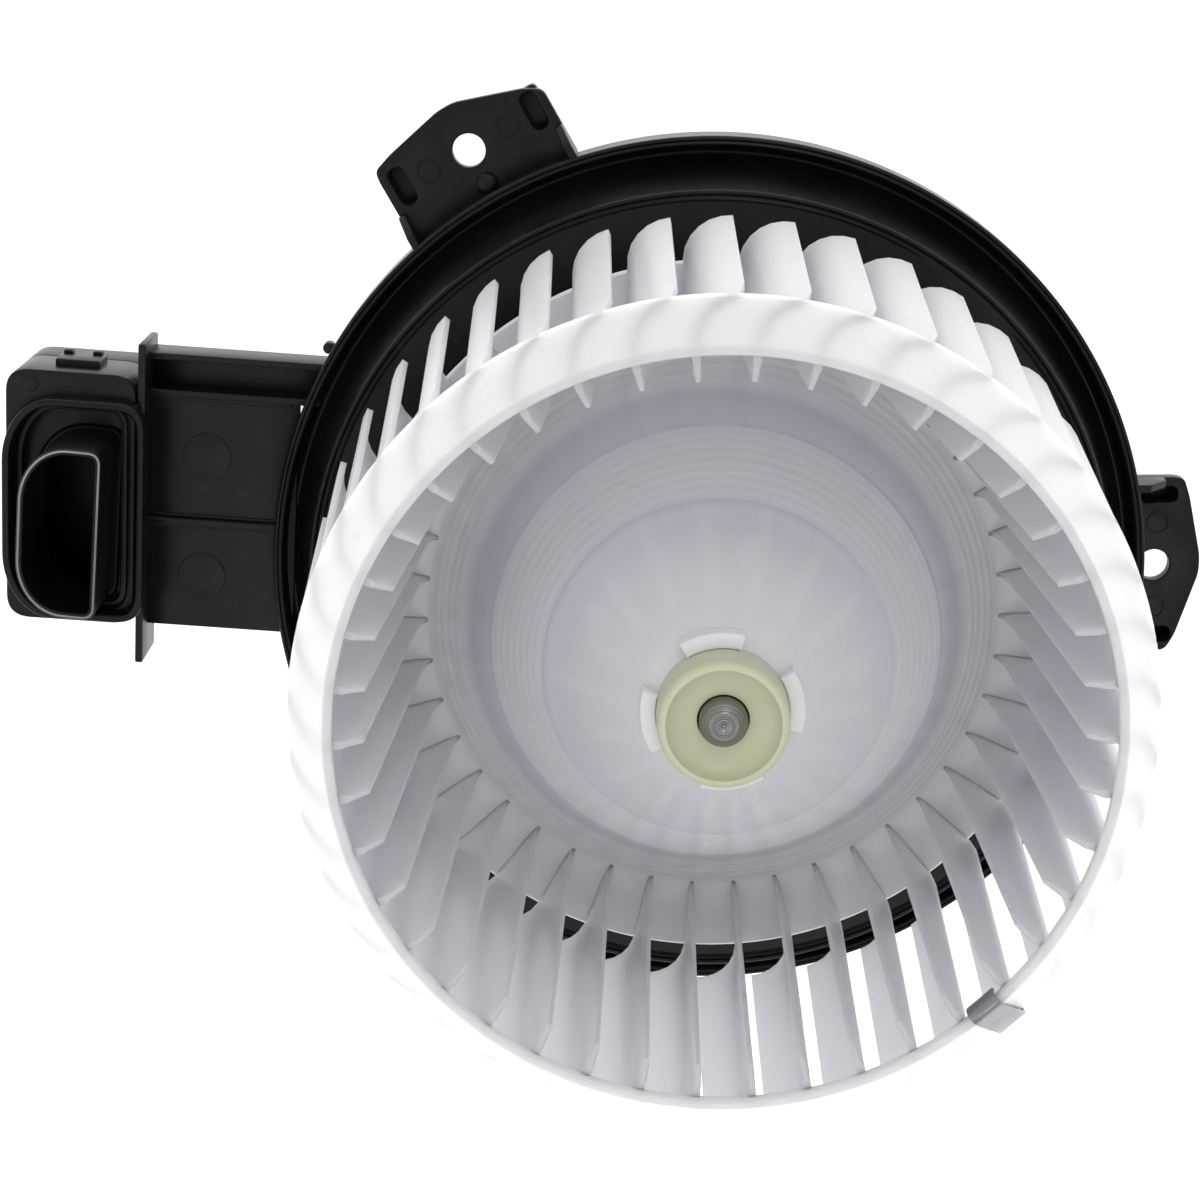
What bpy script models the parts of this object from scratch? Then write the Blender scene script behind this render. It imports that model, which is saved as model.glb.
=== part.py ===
"""Vehicle heater blower: a squirrel cage wheel on a permanent magnet motor, held in a mounting
flange with three fixing ears and a side arm that carries the motor's cooling air scoop.

The shaft is the Z axis, the motor's rear cover stands on z = 0, and the wheel's inlet faces +Z.
The side arm points to -X. Every length is in metres.
"""

import math

import bmesh
import bpy
from mathutils import Matrix, Vector

MM = 0.001

# ---- driving dimensions: fits ----
GAP = 0.3 * MM                    # between pieces that touch or seat on each other
ROUND_STEPS = 48                  # sides of the large turned pieces
SMALL_STEPS = 24                  # sides of the small turned pieces

# ---- driving dimensions: motor ----
SHAFT_RADIUS = 4.0 * MM
CAN_RADIUS = 31.0 * MM
CAN_WALL = 1.8 * MM
MAGNET_THICKNESS = 5.0 * MM
AIR_GAP = 0.7 * MM                # between the magnets and the armature
CORE_LENGTH = 26.0 * MM
POLE_COUNT = 12
COMMUTATOR_RADIUS = 11.0 * MM
COMMUTATOR_LENGTH = 13.0 * MM
BEARING_RADIUS = 8.0 * MM
BEARING_LENGTH = 9.0 * MM
WASHER_THICKNESS = 0.8 * MM
WINDING_HEAD = 5.5 * MM           # how far the winding stands out of the core at each end
BRACKET_THICKNESS = 1.7 * MM
BOSS_HEIGHT = 4.0 * MM            # of the front bearing's seat, above the can's end
BRUSH_WIDTH = 6.0 * MM
BRUSH_HEIGHT = 7.0 * MM
BRUSH_LENGTH = 9.0 * MM

# ---- driving dimensions: motor rear cover ----
COVER_FLOOR = 2.5 * MM
COVER_WALL = 2.4 * MM
COVER_AIR = 4.5 * MM              # between the cover's floor and the motor's end bracket
SCREW_RADIUS = 2.0 * MM
SCREW_HEAD_RADIUS = 4.0 * MM
SCREW_COUNT = 3
CONNECTOR_ANGLE = -60.0           # degrees from +X
CONNECTOR_HALF_WIDTH = 9.0 * MM
CONNECTOR_HEIGHT = 9.0 * MM

# ---- driving dimensions: wheel ----
RING_RADIUS = 70.0 * MM           # outer edge of the inlet ring
RING_WIDTH = 7.9 * MM             # radial width of the cone between its two edges
RING_RISE = 8.5 * MM
RING_WALL = 1.6 * MM
BLADE_COUNT = 42
BLADE_THICKNESS = 1.2 * MM
BLADE_CHORD = 15.6 * MM
BLADE_FLARE = 3.8 * MM            # how much wider the blades stand at their free ends
BLADE_SWEEP = math.radians(6.9)   # from the outer tip back to the radial part
FIRST_BLADE = 2.0                 # degrees from +X to the first blade's outer tip
CLIP_BLADE = 36                   # the balance clip sits in the gap after this blade
WHEEL_DEPTH = 62.5 * MM           # from the ring's outer edge to the blades' free ends
CONE_HEIGHT = 52.5 * MM           # from the hub's seat down to the disc's rim
DISC_WALL = 1.6 * MM
DISC_RIM = 8.3 * MM               # how far the disc's rim reaches in between the blades
HUB_RADIUS = 10.8 * MM
HUB_HEIGHT = 8.6 * MM
DISC_CLEARANCE = 7.0 * MM         # under the disc, over the motor's shoulder

# ---- driving dimensions: mounting flange ----
WHEEL_GAP = 14.7 * MM             # between the blades' free ends and the flange's face
FACE_RADIUS = 76.0 * MM
RIM_RADIUS = 84.2 * MM
RIM_DROP = 11.5 * MM              # the rim's edge lies this far behind the face
FLANGE_WALL = 2.4 * MM
SLEEVE_WALL = 2.4 * MM
ISOLATOR_THICKNESS = 3.0 * MM
EAR_DROP = 7.0 * MM               # the ears' faces lie this far behind the rim's edge
EAR_THICKNESS = 3.0 * MM
EAR_HALF_WIDTH = 17.6 * MM
EAR_HOLE_RADIUS = 3.1 * MM
EAR_ANGLES = (119.2, 0.5, 240.0)  # degrees from +X
EAR_OFFSETS = (8.5 * MM, 3.2 * MM, 5.8 * MM)  # of each ear's hole outside the rim's edge

# ---- driving dimensions: arm and cooling air duct ----
ARM_ANGLE = 175.8                 # degrees from +X
ARM_NORTH = 36.1 * MM             # the arm's two sides, measured from the shaft
ARM_SOUTH = -18.0 * MM
ARM_REACH = 26.2 * MM             # from the flange's rim to the end of the arm's tray
BOX_LENGTH = 24.7 * MM
BOX_DEPTH = 14.0 * MM
COLLAR_HEIGHT = 4.0 * MM
SNOUT_HEIGHT = 15.0 * MM          # how far the snout's mouth stands above the scoop's plate
SNOUT_LENGTH = 32.5 * MM
SNOUT_WIDTH = 14.3 * MM
DUCT_WALL = 1.6 * MM
DUCT_HEIGHT = 9.2 * MM
DUCT_HALF_WIDTH = 12.0 * MM
DUCT_NORTH = 4.5 * MM             # the duct's middle, across the arm

# ---- heights that follow from the above ----
can_bottom = COVER_FLOOR + COVER_AIR + 2.0 * MM
rear_bearing_bottom = can_bottom - 2.4 * MM
rear_bearing_top = rear_bearing_bottom + BEARING_LENGTH
commutator_bottom = rear_bearing_top + WASHER_THICKNESS + 2 * GAP
core_bottom = commutator_bottom + COMMUTATOR_LENGTH + WINDING_HEAD + 3 * GAP
core_top = core_bottom + CORE_LENGTH
can_top = max(
    core_top + GAP + WINDING_HEAD + CAN_WALL + 2.0 * MM,
    core_top + BEARING_LENGTH + WASHER_THICKNESS + CAN_WALL - BOSS_HEIGHT + 4 * GAP,
)
front_bearing_top = can_top + BOSS_HEIGHT - CAN_WALL - GAP
front_bearing_bottom = front_bearing_top - BEARING_LENGTH
blade_outer = RING_RADIUS - 0.9 * MM                 # at the ring
blade_tip = blade_outer + BLADE_FLARE                # at the free ends
disc_rim_radius = blade_tip - DISC_RIM + 1.0 * MM
skirt_radius = blade_tip - BLADE_CHORD - 5.0 * MM    # where the cone turns into the flat rim
hub_seat_radius = HUB_RADIUS + 0.9 * MM


def cone_drop(radius):
    """How far the disc's front face lies below the hub's seat at a radius."""
    share = (radius - hub_seat_radius) / (skirt_radius - hub_seat_radius)
    return CONE_HEIGHT * min(1.0, max(0.0, share)) ** 1.18


hub_seat = can_top + DISC_CLEARANCE + DISC_WALL + cone_drop(CAN_RADIUS)
rim_face = hub_seat - CONE_HEIGHT                    # front face of the disc's flat rim
blade_end = rim_face - 0.2 * MM
ring_edge = blade_end + WHEEL_DEPTH
ring_front = ring_edge + RING_RISE
hub_top = hub_seat + HUB_HEIGHT
shaft_tip = hub_top + 0.4 * MM
flange_face = blade_end - WHEEL_GAP
rim_edge = flange_face - RIM_DROP
ear_face = rim_edge - EAR_DROP
arm_floor = ear_face + 3.0 * MM
plate_top = rim_edge + 1.0 * MM                      # the scoop's plate
box_bottom = plate_top - BOX_DEPTH
duct_top = box_bottom - GAP
duct_bottom = duct_top - DUCT_HEIGHT
flange_back = flange_face - FLANGE_WALL
lug_bottom = flange_back - 12.0 * MM                 # the rear cover's screw lugs
lug_top = lug_bottom + 3.0 * MM
sleeve_inner = CAN_RADIUS + ISOLATOR_THICKNESS + 2 * GAP
sleeve_outer = sleeve_inner + SLEEVE_WALL
cover_outer = sleeve_outer + 1.0 * MM
arm_inner = RIM_RADIUS - 0.9 * MM                    # where arm and ears grow out of the rim
tray_end = RIM_RADIUS + ARM_REACH
boss_circle = cover_outer + SCREW_HEAD_RADIUS + 1.0 * MM
duct_screw_north = DUCT_NORTH + DUCT_HALF_WIDTH + SCREW_HEAD_RADIUS + 0.5 * MM
box_x0 = tray_end + GAP
box_x1 = box_x0 + BOX_LENGTH
box_south = ARM_SOUTH + 1.0 * MM
box_north = ARM_NORTH - 4.2 * MM
connector_low = COVER_FLOOR + GAP
connector_high = connector_low + CONNECTOR_HEIGHT
connector_inner = cover_outer - COVER_WALL - 1.5 * MM
connector_outer = cover_outer + 14.0 * MM
magnet_outer = CAN_RADIUS - CAN_WALL - GAP
magnet_inner = magnet_outer - MAGNET_THICKNESS
core_radius = magnet_inner - AIR_GAP


# ---- scene, collections and materials ----
for old in list(bpy.data.objects):
    bpy.data.objects.remove(old, do_unlink=True)

parts = bpy.data.collections.new("heater_blower")
cutters = bpy.data.collections.new("cutters")
for group in (parts, cutters):
    bpy.context.scene.collection.children.link(group)


def material(name, color, roughness, metallic=0.0):
    made = bpy.data.materials.new(name)
    made.use_nodes = True
    shader = made.node_tree.nodes["Principled BSDF"]
    shader.inputs["Base Color"].default_value = (*color, 1.0)
    shader.inputs["Roughness"].default_value = roughness
    shader.inputs["Metallic"].default_value = metallic
    made.diffuse_color = (*color, 1.0)
    return made


black_plastic = material("black_plastic", (0.035, 0.036, 0.038), 0.5)
clear_plastic = material("milky_plastic", (0.82, 0.81, 0.86), 0.35)
cream_nylon = material("cream_nylon", (0.72, 0.70, 0.45), 0.4)
bright_steel = material("bright_steel", (0.62, 0.61, 0.60), 0.28, 1.0)
zinc_steel = material("zinc_steel", (0.55, 0.56, 0.58), 0.4, 1.0)
ferrite = material("ferrite", (0.07, 0.07, 0.08), 0.7)
lamination = material("lamination", (0.30, 0.31, 0.33), 0.5, 1.0)
copper = material("copper", (0.72, 0.33, 0.18), 0.35, 1.0)
bronze = material("bronze", (0.55, 0.38, 0.20), 0.5, 1.0)
brass = material("brass", (0.70, 0.54, 0.24), 0.35, 1.0)
carbon = material("carbon", (0.05, 0.05, 0.05), 0.6)
rubber = material("rubber", (0.025, 0.025, 0.025), 0.85)
card = material("card", (0.36, 0.22, 0.11), 0.6)


# ---- building blocks ----
def add_object(name, mesh, finish=None, guide=False):
    made = bpy.data.objects.new(name, mesh)
    (cutters if guide else parts).objects.link(made)
    if finish is not None:
        mesh.materials.append(finish)
    if guide:
        made.hide_render = True
        made.display_type = "WIRE"
    return made


def turned(name, profile, finish=None, closed=True, steps=ROUND_STEPS, guide=False):
    """A profile of (radius, height) points turned round Z. It runs down its outer side."""
    mesh = bpy.data.meshes.new(name)
    count = len(profile)
    edges = [(i, i + 1) for i in range(count - 1)] + ([(count - 1, 0)] if closed else [])
    mesh.from_pydata([(r, 0.0, z) for r, z in profile], edges, [])
    made = add_object(name, mesh, finish, guide)
    screw = made.modifiers.new("turn", "SCREW")
    screw.axis = "Z"
    screw.steps = screw.render_steps = steps
    screw.use_merge_vertices = True
    screw.merge_threshold = 0.00001
    screw.use_smooth_shade = False
    return made


def prism(name, outline, bottom, top, finish=None, guide=False, turn=0.0):
    """A flat outline of (x, y) points, filled and raised from bottom to top, turned about Z."""
    curve = bpy.data.curves.new(name, "CURVE")
    curve.dimensions = "2D"
    curve.fill_mode = "BOTH"
    curve.extrude = (top - bottom) / 2
    spline = curve.splines.new("POLY")
    spline.points.add(len(outline) - 1)
    for point, (x, y) in zip(spline.points, outline):
        point.co = (x, y, 0.0, 1.0)
    spline.use_cyclic_u = True
    flat = bpy.data.objects.new(name + "_outline", curve)
    parts.objects.link(flat)
    flat.location.z = (top + bottom) / 2
    flat.rotation_euler.z = math.radians(turn)
    return solid_from_curve(flat, name, finish, guide)


def solid_from_curve(source, name, finish=None, guide=False):
    """The curve's solid as a mesh, its loose caps welded, in place of the curve."""
    bpy.context.view_layer.update()
    graph = bpy.context.evaluated_depsgraph_get()
    mesh = bpy.data.meshes.new_from_object(source.evaluated_get(graph))
    mesh.transform(source.matrix_world)
    mesh.materials.clear()
    bpy.data.objects.remove(source, do_unlink=True)
    work = bmesh.new()
    work.from_mesh(mesh)
    bmesh.ops.remove_doubles(work, verts=work.verts, dist=0.000001)
    bmesh.ops.recalc_face_normals(work, faces=work.faces)
    work.to_mesh(mesh)
    work.free()
    mesh.name = name
    return add_object(name, mesh, finish, guide)


def block(name, low, high, finish=None, guide=False, turn=0.0):
    """A box between two corners, turned about Z."""
    work = bmesh.new()
    bmesh.ops.create_cube(work, size=1.0)
    low, high = Vector(low), Vector(high)
    size = high - low
    place = Matrix.Rotation(math.radians(turn), 4, "Z") @ Matrix.Translation((low + high) / 2)
    bmesh.ops.transform(work, matrix=place @ Matrix.Diagonal((*size, 1.0)), verts=work.verts)
    mesh = bpy.data.meshes.new(name)
    work.to_mesh(mesh)
    work.free()
    return add_object(name, mesh, finish, guide)


def rod(name, radius, bottom, top, center=(0.0, 0.0), finish=None, steps=SMALL_STEPS, guide=False):
    """A cylinder that stands along Z."""
    work = bmesh.new()
    place = Matrix.Translation((center[0], center[1], (bottom + top) / 2))
    bmesh.ops.create_cone(
        work, cap_ends=True, segments=steps, radius1=radius, radius2=radius,
        depth=top - bottom, matrix=place,
    )
    mesh = bpy.data.meshes.new(name)
    work.to_mesh(mesh)
    work.free()
    return add_object(name, mesh, finish, guide)


def combine(target, other, operation):
    step = target.modifiers.new(operation.lower(), "BOOLEAN")
    step.operation = operation
    step.object = other
    step.solver = "EXACT"
    other.hide_render = True
    other.display_type = "WIRE"
    if other.name in parts.objects:
        parts.objects.unlink(other)
        cutters.objects.link(other)


def cut(target, *others):
    for other in others:
        combine(target, other, "DIFFERENCE")


def join(target, *others):
    for other in others:
        combine(target, other, "UNION")


def settle(made, turn):
    """Applies the piece's cuts and unions while it is square to the axes, then turns it."""
    bpy.context.view_layer.update()
    mesh = bpy.data.meshes.new_from_object(
        made.evaluated_get(bpy.context.evaluated_depsgraph_get()))
    mesh.transform(Matrix.Rotation(math.radians(turn), 4, "Z"))
    made.modifiers.clear()
    made.data = mesh
    return made


def round_by_angle(made, degrees=35.0):
    made.data.shade_smooth()
    made.data.set_sharp_from_angle(angle=math.radians(degrees))


def polar(radius, degrees):
    angle = math.radians(degrees)
    return (radius * math.cos(angle), radius * math.sin(angle))


def corner_arc(center, radius, start, end, steps=4):
    """Points of an arc between two angles in degrees."""
    out = []
    for i in range(steps + 1):
        x, y = polar(radius, start + (end - start) * i / steps)
        out.append((center[0] + x, center[1] + y))
    return out


def rounded_box(x0, x1, y0, y1, radius, steps=4):
    """A rectangle's outline with round corners, anticlockwise."""
    return (
        corner_arc((x1 - radius, y0 + radius), radius, -90, 0, steps)
        + corner_arc((x1 - radius, y1 - radius), radius, 0, 90, steps)
        + corner_arc((x0 + radius, y1 - radius), radius, 90, 180, steps)
        + corner_arc((x0 + radius, y0 + radius), radius, 180, 270, steps)
    )


# ---- the local frame of the arm: x runs outwards along it, y to its south side ----
def arm_y(north):
    """The arm's local y for a place measured towards its north side."""
    return -north


def arm_block(name, x0, x1, south, north, bottom, top, guide=False):
    """A box in the arm's frame, between two places along it and two across it."""
    return block(name, (x0, arm_y(north), bottom), (x1, arm_y(south), top), guide=guide)


def rim_cutter(name):
    """What grows out of the rim stops at this cylinder, inside the rim's wall."""
    return rod(name, arm_inner, -MM, flange_face + 20.0 * MM, steps=ROUND_STEPS, guide=True)


def mounting_flange():
    face, wall = flange_face, FLANGE_WALL
    slope = RIM_RADIUS - FACE_RADIUS                  # between the face's bead and the rim's edge
    trough = rim_edge - 5.5 * MM
    profile = [
        (sleeve_inner, face + 8.0 * MM),
        (sleeve_outer, face + 8.0 * MM),
        (sleeve_outer, face),
        (FACE_RADIUS - 1.9 * MM, face),
        (FACE_RADIUS - 1.5 * MM, face + 0.8 * MM),
        (FACE_RADIUS - 0.3 * MM, face + 0.8 * MM),
        (FACE_RADIUS, face - 0.3 * MM),
        (FACE_RADIUS + 0.10 * slope, face - 0.35 * (face - trough)),
        (FACE_RADIUS + 0.24 * slope, face - 0.70 * (face - trough)),
        (FACE_RADIUS + 0.44 * slope, face - 0.93 * (face - trough)),
        (FACE_RADIUS + 0.66 * slope, trough),
        (RIM_RADIUS - 1.9 * MM, trough + 1.6 * MM),
        (RIM_RADIUS - 1.7 * MM, rim_edge - 0.4 * MM),
        (RIM_RADIUS - 1.3 * MM, rim_edge),
        (RIM_RADIUS - 0.3 * MM, rim_edge),
        (RIM_RADIUS, rim_edge - 0.5 * MM),
        (RIM_RADIUS, trough - 3.0 * MM),
        (FACE_RADIUS + 0.42 * slope, trough - 3.0 * MM),
        (FACE_RADIUS + 0.05 * slope - 0.7 * wall, face - 0.80 * (face - trough)),
        (FACE_RADIUS - 0.9 * wall, face - wall),
        (sleeve_outer + wall, face - wall),
        (sleeve_outer, face - 2 * wall),
        (sleeve_outer, lug_top + GAP),
        (sleeve_inner, lug_top + GAP),
    ]
    flange = turned("mounting_flange", profile, black_plastic)

    for number, (angle, offset) in enumerate(zip(EAR_ANGLES, EAR_OFFSETS), 1):
        join(flange, fixing_ear(number, angle, RIM_RADIUS + offset))
    join(flange, side_arm())

    # bosses behind the face that take the rear cover's screws
    for i in range(SCREW_COUNT):
        place = polar(boss_circle, screw_angle(i))
        join(flange, rod(f"cover_boss_{i + 1}", SCREW_RADIUS + 2.4 * MM, lug_top + GAP,
                         flange_back + 0.5 * MM, place, steps=20))
        cut(flange, rod(f"cover_boss_hole_{i + 1}", SCREW_RADIUS + GAP, lug_top - MM,
                        flange_back - 2.0 * MM, place, steps=16, guide=True))
    # bosses under the arm that take the duct's screws
    for i, x in enumerate(duct_screw_places(), 1):
        join(flange, rod(f"duct_boss_{i}", SCREW_RADIUS + 1.8 * MM, duct_top + GAP,
                         arm_floor - MM, arm_point(x, duct_screw_north), steps=20))
        cut(flange, rod(f"duct_boss_hole_{i}", SCREW_RADIUS + GAP, duct_top - MM,
                        arm_floor - 2.2 * MM, arm_point(x, duct_screw_north), steps=16,
                        guide=True))
    return flange


def fixing_ear(number, angle, hole):
    """A plate behind the rim with a screw hole, two slots and a web along each side."""
    plate_bottom = ear_face - EAR_THICKNESS
    half, web = EAR_HALF_WIDTH, 1.5 * MM
    root = math.sqrt(arm_inner ** 2 - half ** 2) - 4.0 * MM
    outline = [
        (root, -half), (hole + 3.0 * MM, -half), (hole + 4.8 * MM, -0.83 * half),
        (hole + 9.0 * MM, -0.10 * half), (hole + 9.0 * MM, 0.10 * half),
        (hole + 6.4 * MM, 0.78 * half), (hole + 5.2 * MM, half - 0.4 * MM),
        (hole + 3.4 * MM, half), (root, half),
    ]
    ear = prism(f"ear_{number}", outline, plate_bottom, ear_face)
    edge = 0.1 * MM                                   # the webs stand in a little from the sides
    web_end = math.sqrt(RIM_RADIUS ** 2 - half ** 2) + 5.0 * MM
    for side in (-1, 1):
        y0, y1 = sorted((side * (half - edge), side * (half - web)))
        join(ear, block(f"ear_web_{number}_{side + 1}", (root + MM, y0, ear_face - 1.0 * MM),
                        (web_end, y1, rim_edge - 1.6 * MM)))
    for side in (-1, 1):
        slot_y = side * (half - 3.4 * MM)
        slot_r, slot_half = 1.6 * MM, 2.0 * MM
        slot = (
            corner_arc((hole + 0.3 * MM + slot_half, slot_y), slot_r, -90, 90)
            + corner_arc((hole + 0.3 * MM - slot_half, slot_y), slot_r, 90, 270)
        )
        # the slots are blind, with a thin floor left under them
        cut(ear, prism(f"ear_slot_{number}_{side + 1}", slot, plate_bottom + 0.8 * MM,
                       ear_face + MM, guide=True))
    cut(ear, rod(f"ear_hole_{number}", EAR_HOLE_RADIUS, plate_bottom - MM, ear_face + MM,
                 (hole, 0.0), steps=24, guide=True), rim_cutter(f"ear_rim_{number}"))
    return settle(ear, angle)


def side_arm():
    """The arm's tray: floor, seal channel on its north side, south wall, rib and partition."""
    low = ear_face - 4.0 * MM
    wall = 1.4 * MM
    ledge = ARM_NORTH - 7.1 * MM
    x0, x1 = RIM_RADIUS - 12.0 * MM, tray_end - 0.5 * MM
    arm = arm_block("arm_floor", x0, x1 + 0.2 * MM, ARM_SOUTH, ledge - 0.5 * MM,
                    arm_floor - 2.5 * MM, arm_floor)
    join(
        arm,
        arm_block("arm_ledge", x0, x1, ledge - wall, ledge, low, arm_floor + 1.2 * MM),
        arm_block("arm_channel", x0, x1 + 0.1 * MM, ledge - 0.5 * wall, ARM_NORTH - 0.5 * wall,
                  low + 0.2 * MM, low + 2.0 * MM),
        arm_block("arm_north_wall", x0, x1, ARM_NORTH - wall, ARM_NORTH, low,
                  arm_floor + 1.6 * MM),
        arm_block("arm_south_wall", x0, x1, ARM_SOUTH - 0.1 * MM, ARM_SOUTH + wall, low,
                  arm_floor - 0.2 * MM),
        arm_block("arm_rib", x0, x1 + 0.3 * MM, 2.5 * MM, 4.1 * MM, arm_floor - MM,
                  arm_floor + 1.6 * MM),
        arm_block("arm_partition", tray_end - 1.5 * MM, tray_end, ARM_SOUTH - 6.4 * MM,
                  ARM_NORTH + 2.2 * MM, low - 0.2 * MM, plate_top + 0.8 * MM),
    )
    cut(arm, rim_cutter("arm_rim"))
    return settle(arm, ARM_ANGLE)


def screw_angle(i):
    return 30.0 + i * 360.0 / SCREW_COUNT


def arm_point(x, north):
    """World (x, y) of a place along and across the arm."""
    turn = math.radians(ARM_ANGLE)
    y = arm_y(north)
    return (x * math.cos(turn) - y * math.sin(turn), x * math.sin(turn) + y * math.cos(turn))


def duct_screw_places():
    return (RIM_RADIUS + 7.0 * MM, RIM_RADIUS + 18.0 * MM)


def snout_outline(length, width, grow=0.0, corner=1.8 * MM):
    """A D: its flat side faces the flange, its round side outwards. Local frame of the arm."""
    middle = snout_middle
    x0, x1 = middle[0] - width / 2 - grow, middle[0] + width / 2 + grow
    y0, y1 = middle[1] - length / 2 - grow, middle[1] + length / 2 + grow
    flat = corner + max(0.0, grow)
    bow = width * 0.72 + grow
    return (
        corner_arc((x1 - bow, y0 + bow), bow, -90, 0, 6)
        + corner_arc((x1 - bow, y1 - bow), bow, 0, 90, 6)
        + corner_arc((x0 + flat, y1 - flat), flat, 90, 180, 3)
        + corner_arc((x0 + flat, y0 + flat), flat, 180, 270, 3)
    )


snout_middle = ((box_x0 + box_x1) / 2 - 0.6 * MM, arm_y(0.5 * (box_south + box_north) - 2.2 * MM))


def duct_scoop():
    wall = DUCT_WALL
    box = (box_x0, box_x1, arm_y(box_north), arm_y(box_south))
    inner = (box[0] + wall, box[1] - wall, box[2] + wall, box[3] - wall)
    scoop = prism("duct_scoop", rounded_box(*box, 4.5 * MM), box_bottom, plate_top,
                  black_plastic, turn=ARM_ANGLE)
    collar_x = (box_x0 + 0.2 * MM, box_x1 - 0.6 * MM)
    collar_y = (snout_middle[1] - 21.2 * MM, snout_middle[1] + 21.2 * MM)
    bow = 0.46 * BOX_LENGTH

    def collar(shrink):
        r = bow - shrink
        x0, x1 = collar_x[0] + shrink, collar_x[1] - shrink
        y0, y1 = collar_y[0] + shrink, collar_y[1] - shrink
        small = 4.5 * MM - shrink
        return (
            corner_arc((x1 - r, y0 + r), r, -90, 0, 6)
            + corner_arc((x1 - r, y1 - r), r, 0, 90, 6)
            + corner_arc((x0 + small, y1 - small), small, 90, 180, 3)
            + corner_arc((x0 + small, y0 + small), small, 180, 270, 3)
        )

    floor = plate_top - 2.0 * MM
    join(scoop, prism("scoop_collar", collar(0.0), floor - wall, plate_top + COLLAR_HEIGHT,
                      turn=ARM_ANGLE))
    cut(scoop,
        prism("scoop_inside", rounded_box(*inner, 3.0 * MM), box_bottom - MM, floor - wall,
              guide=True, turn=ARM_ANGLE),
        prism("scoop_moat", collar(1.5 * MM), floor, plate_top + COLLAR_HEIGHT + MM,
              guide=True, turn=ARM_ANGLE))
    join(scoop, prism("snout_tube", snout_outline(SNOUT_LENGTH, SNOUT_WIDTH), floor - 0.5 * wall,
                      plate_top + SNOUT_HEIGHT, turn=ARM_ANGLE))
    cut(scoop, prism("snout_bore", snout_outline(SNOUT_LENGTH, SNOUT_WIDTH, grow=-1.1 * MM),
                     floor - 2 * wall, plate_top + SNOUT_HEIGHT + MM, guide=True, turn=ARM_ANGLE))
    # snap latch on the north side
    latch = (box_x0 + 8.0 * MM, box_x0 + 16.4 * MM)
    join(scoop, prism("scoop_latch",
                      [(latch[0], arm_y(box_north + 1.4 * MM)), (latch[1], arm_y(box_north + 1.4 * MM)),
                       (latch[1], arm_y(box_north - 0.8 * MM)), (latch[0], arm_y(box_north - 0.8 * MM))],
                      box_bottom + 1.0 * MM, plate_top - 5.0 * MM, turn=ARM_ANGLE))
    return scoop


def duct_lower_shell():
    """The pan under the scoop and the closed channel from it to the motor's rear cover."""
    wall = DUCT_WALL
    start = cover_outer + 2 * GAP
    south, north = DUCT_NORTH - DUCT_HALF_WIDTH, DUCT_NORTH + DUCT_HALF_WIDTH
    pan = rounded_box(box_x0, box_x1, arm_y(box_north), arm_y(box_south), 4.5 * MM)
    shell = prism("duct_lower_shell", pan, duct_bottom, duct_top, black_plastic, turn=ARM_ANGLE)
    channel = [(start, arm_y(north)), (box_x0 + wall, arm_y(north)),
               (box_x0 + wall, arm_y(south)), (start, arm_y(south))]
    bore = [(start - MM, arm_y(north - wall)), (box_x0 + 2 * wall, arm_y(north - wall)),
            (box_x0 + 2 * wall, arm_y(south + wall)), (start - MM, arm_y(south + wall))]
    inner = rounded_box(box_x0 + wall, box_x1 - wall, arm_y(box_north - wall),
                        arm_y(box_south + wall), 3.0 * MM)
    join(shell, prism("duct_channel", channel, duct_bottom, duct_top, turn=ARM_ANGLE))
    lug = 2.4 * MM
    for i, x in enumerate(duct_screw_places(), 1):
        place = arm_point(x, duct_screw_north)
        bridge = [(x - 3.4 * MM, arm_y(north - wall / 2)), (x + 3.4 * MM, arm_y(north - wall / 2)),
                  (x + 3.4 * MM, arm_y(duct_screw_north)), (x - 3.4 * MM, arm_y(duct_screw_north))]
        join(shell, prism(f"duct_lug_bridge_{i}", bridge, duct_top - lug, duct_top,
                          turn=ARM_ANGLE))
        join(shell, rod(f"duct_lug_{i}", SCREW_HEAD_RADIUS + 0.4 * MM, duct_top - lug, duct_top,
                        place, steps=20))
        cut(shell, rod(f"duct_lug_hole_{i}", SCREW_RADIUS + GAP, duct_top - lug - MM,
                       duct_top + MM, place, steps=16, guide=True))
        screw_at(f"duct_screw_{i}", place, duct_top - lug - GAP,
                 arm_floor - 2.2 * MM - GAP - (duct_top - lug - GAP))
    cut(shell,
        prism("duct_bore", bore, duct_bottom + wall, duct_top - wall, guide=True,
              turn=ARM_ANGLE),
        prism("duct_pan_inside", inner, duct_bottom + wall, duct_top + MM, guide=True,
              turn=ARM_ANGLE))
    return shell


def screw_at(name, place, seat, length):
    """A pan head screw that points up: its head hangs below the seat."""
    head = 2.4 * MM
    r, h = SCREW_RADIUS - 0.05 * MM, SCREW_HEAD_RADIUS - 0.2 * MM
    profile = [
        (0.0, length), (r - 0.6 * MM, length), (r, length - 1.2 * MM), (r, 0.0), (h, 0.0),
        (h, -1.2 * MM), (h - 1.2 * MM, -head), (1.6 * MM, -head), (1.2 * MM, -1.1 * MM),
        (0.0, -1.1 * MM),
    ]
    made = turned(name, profile, zinc_steel, closed=False, steps=12)
    made.location = (place[0], place[1], seat)
    return made


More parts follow.
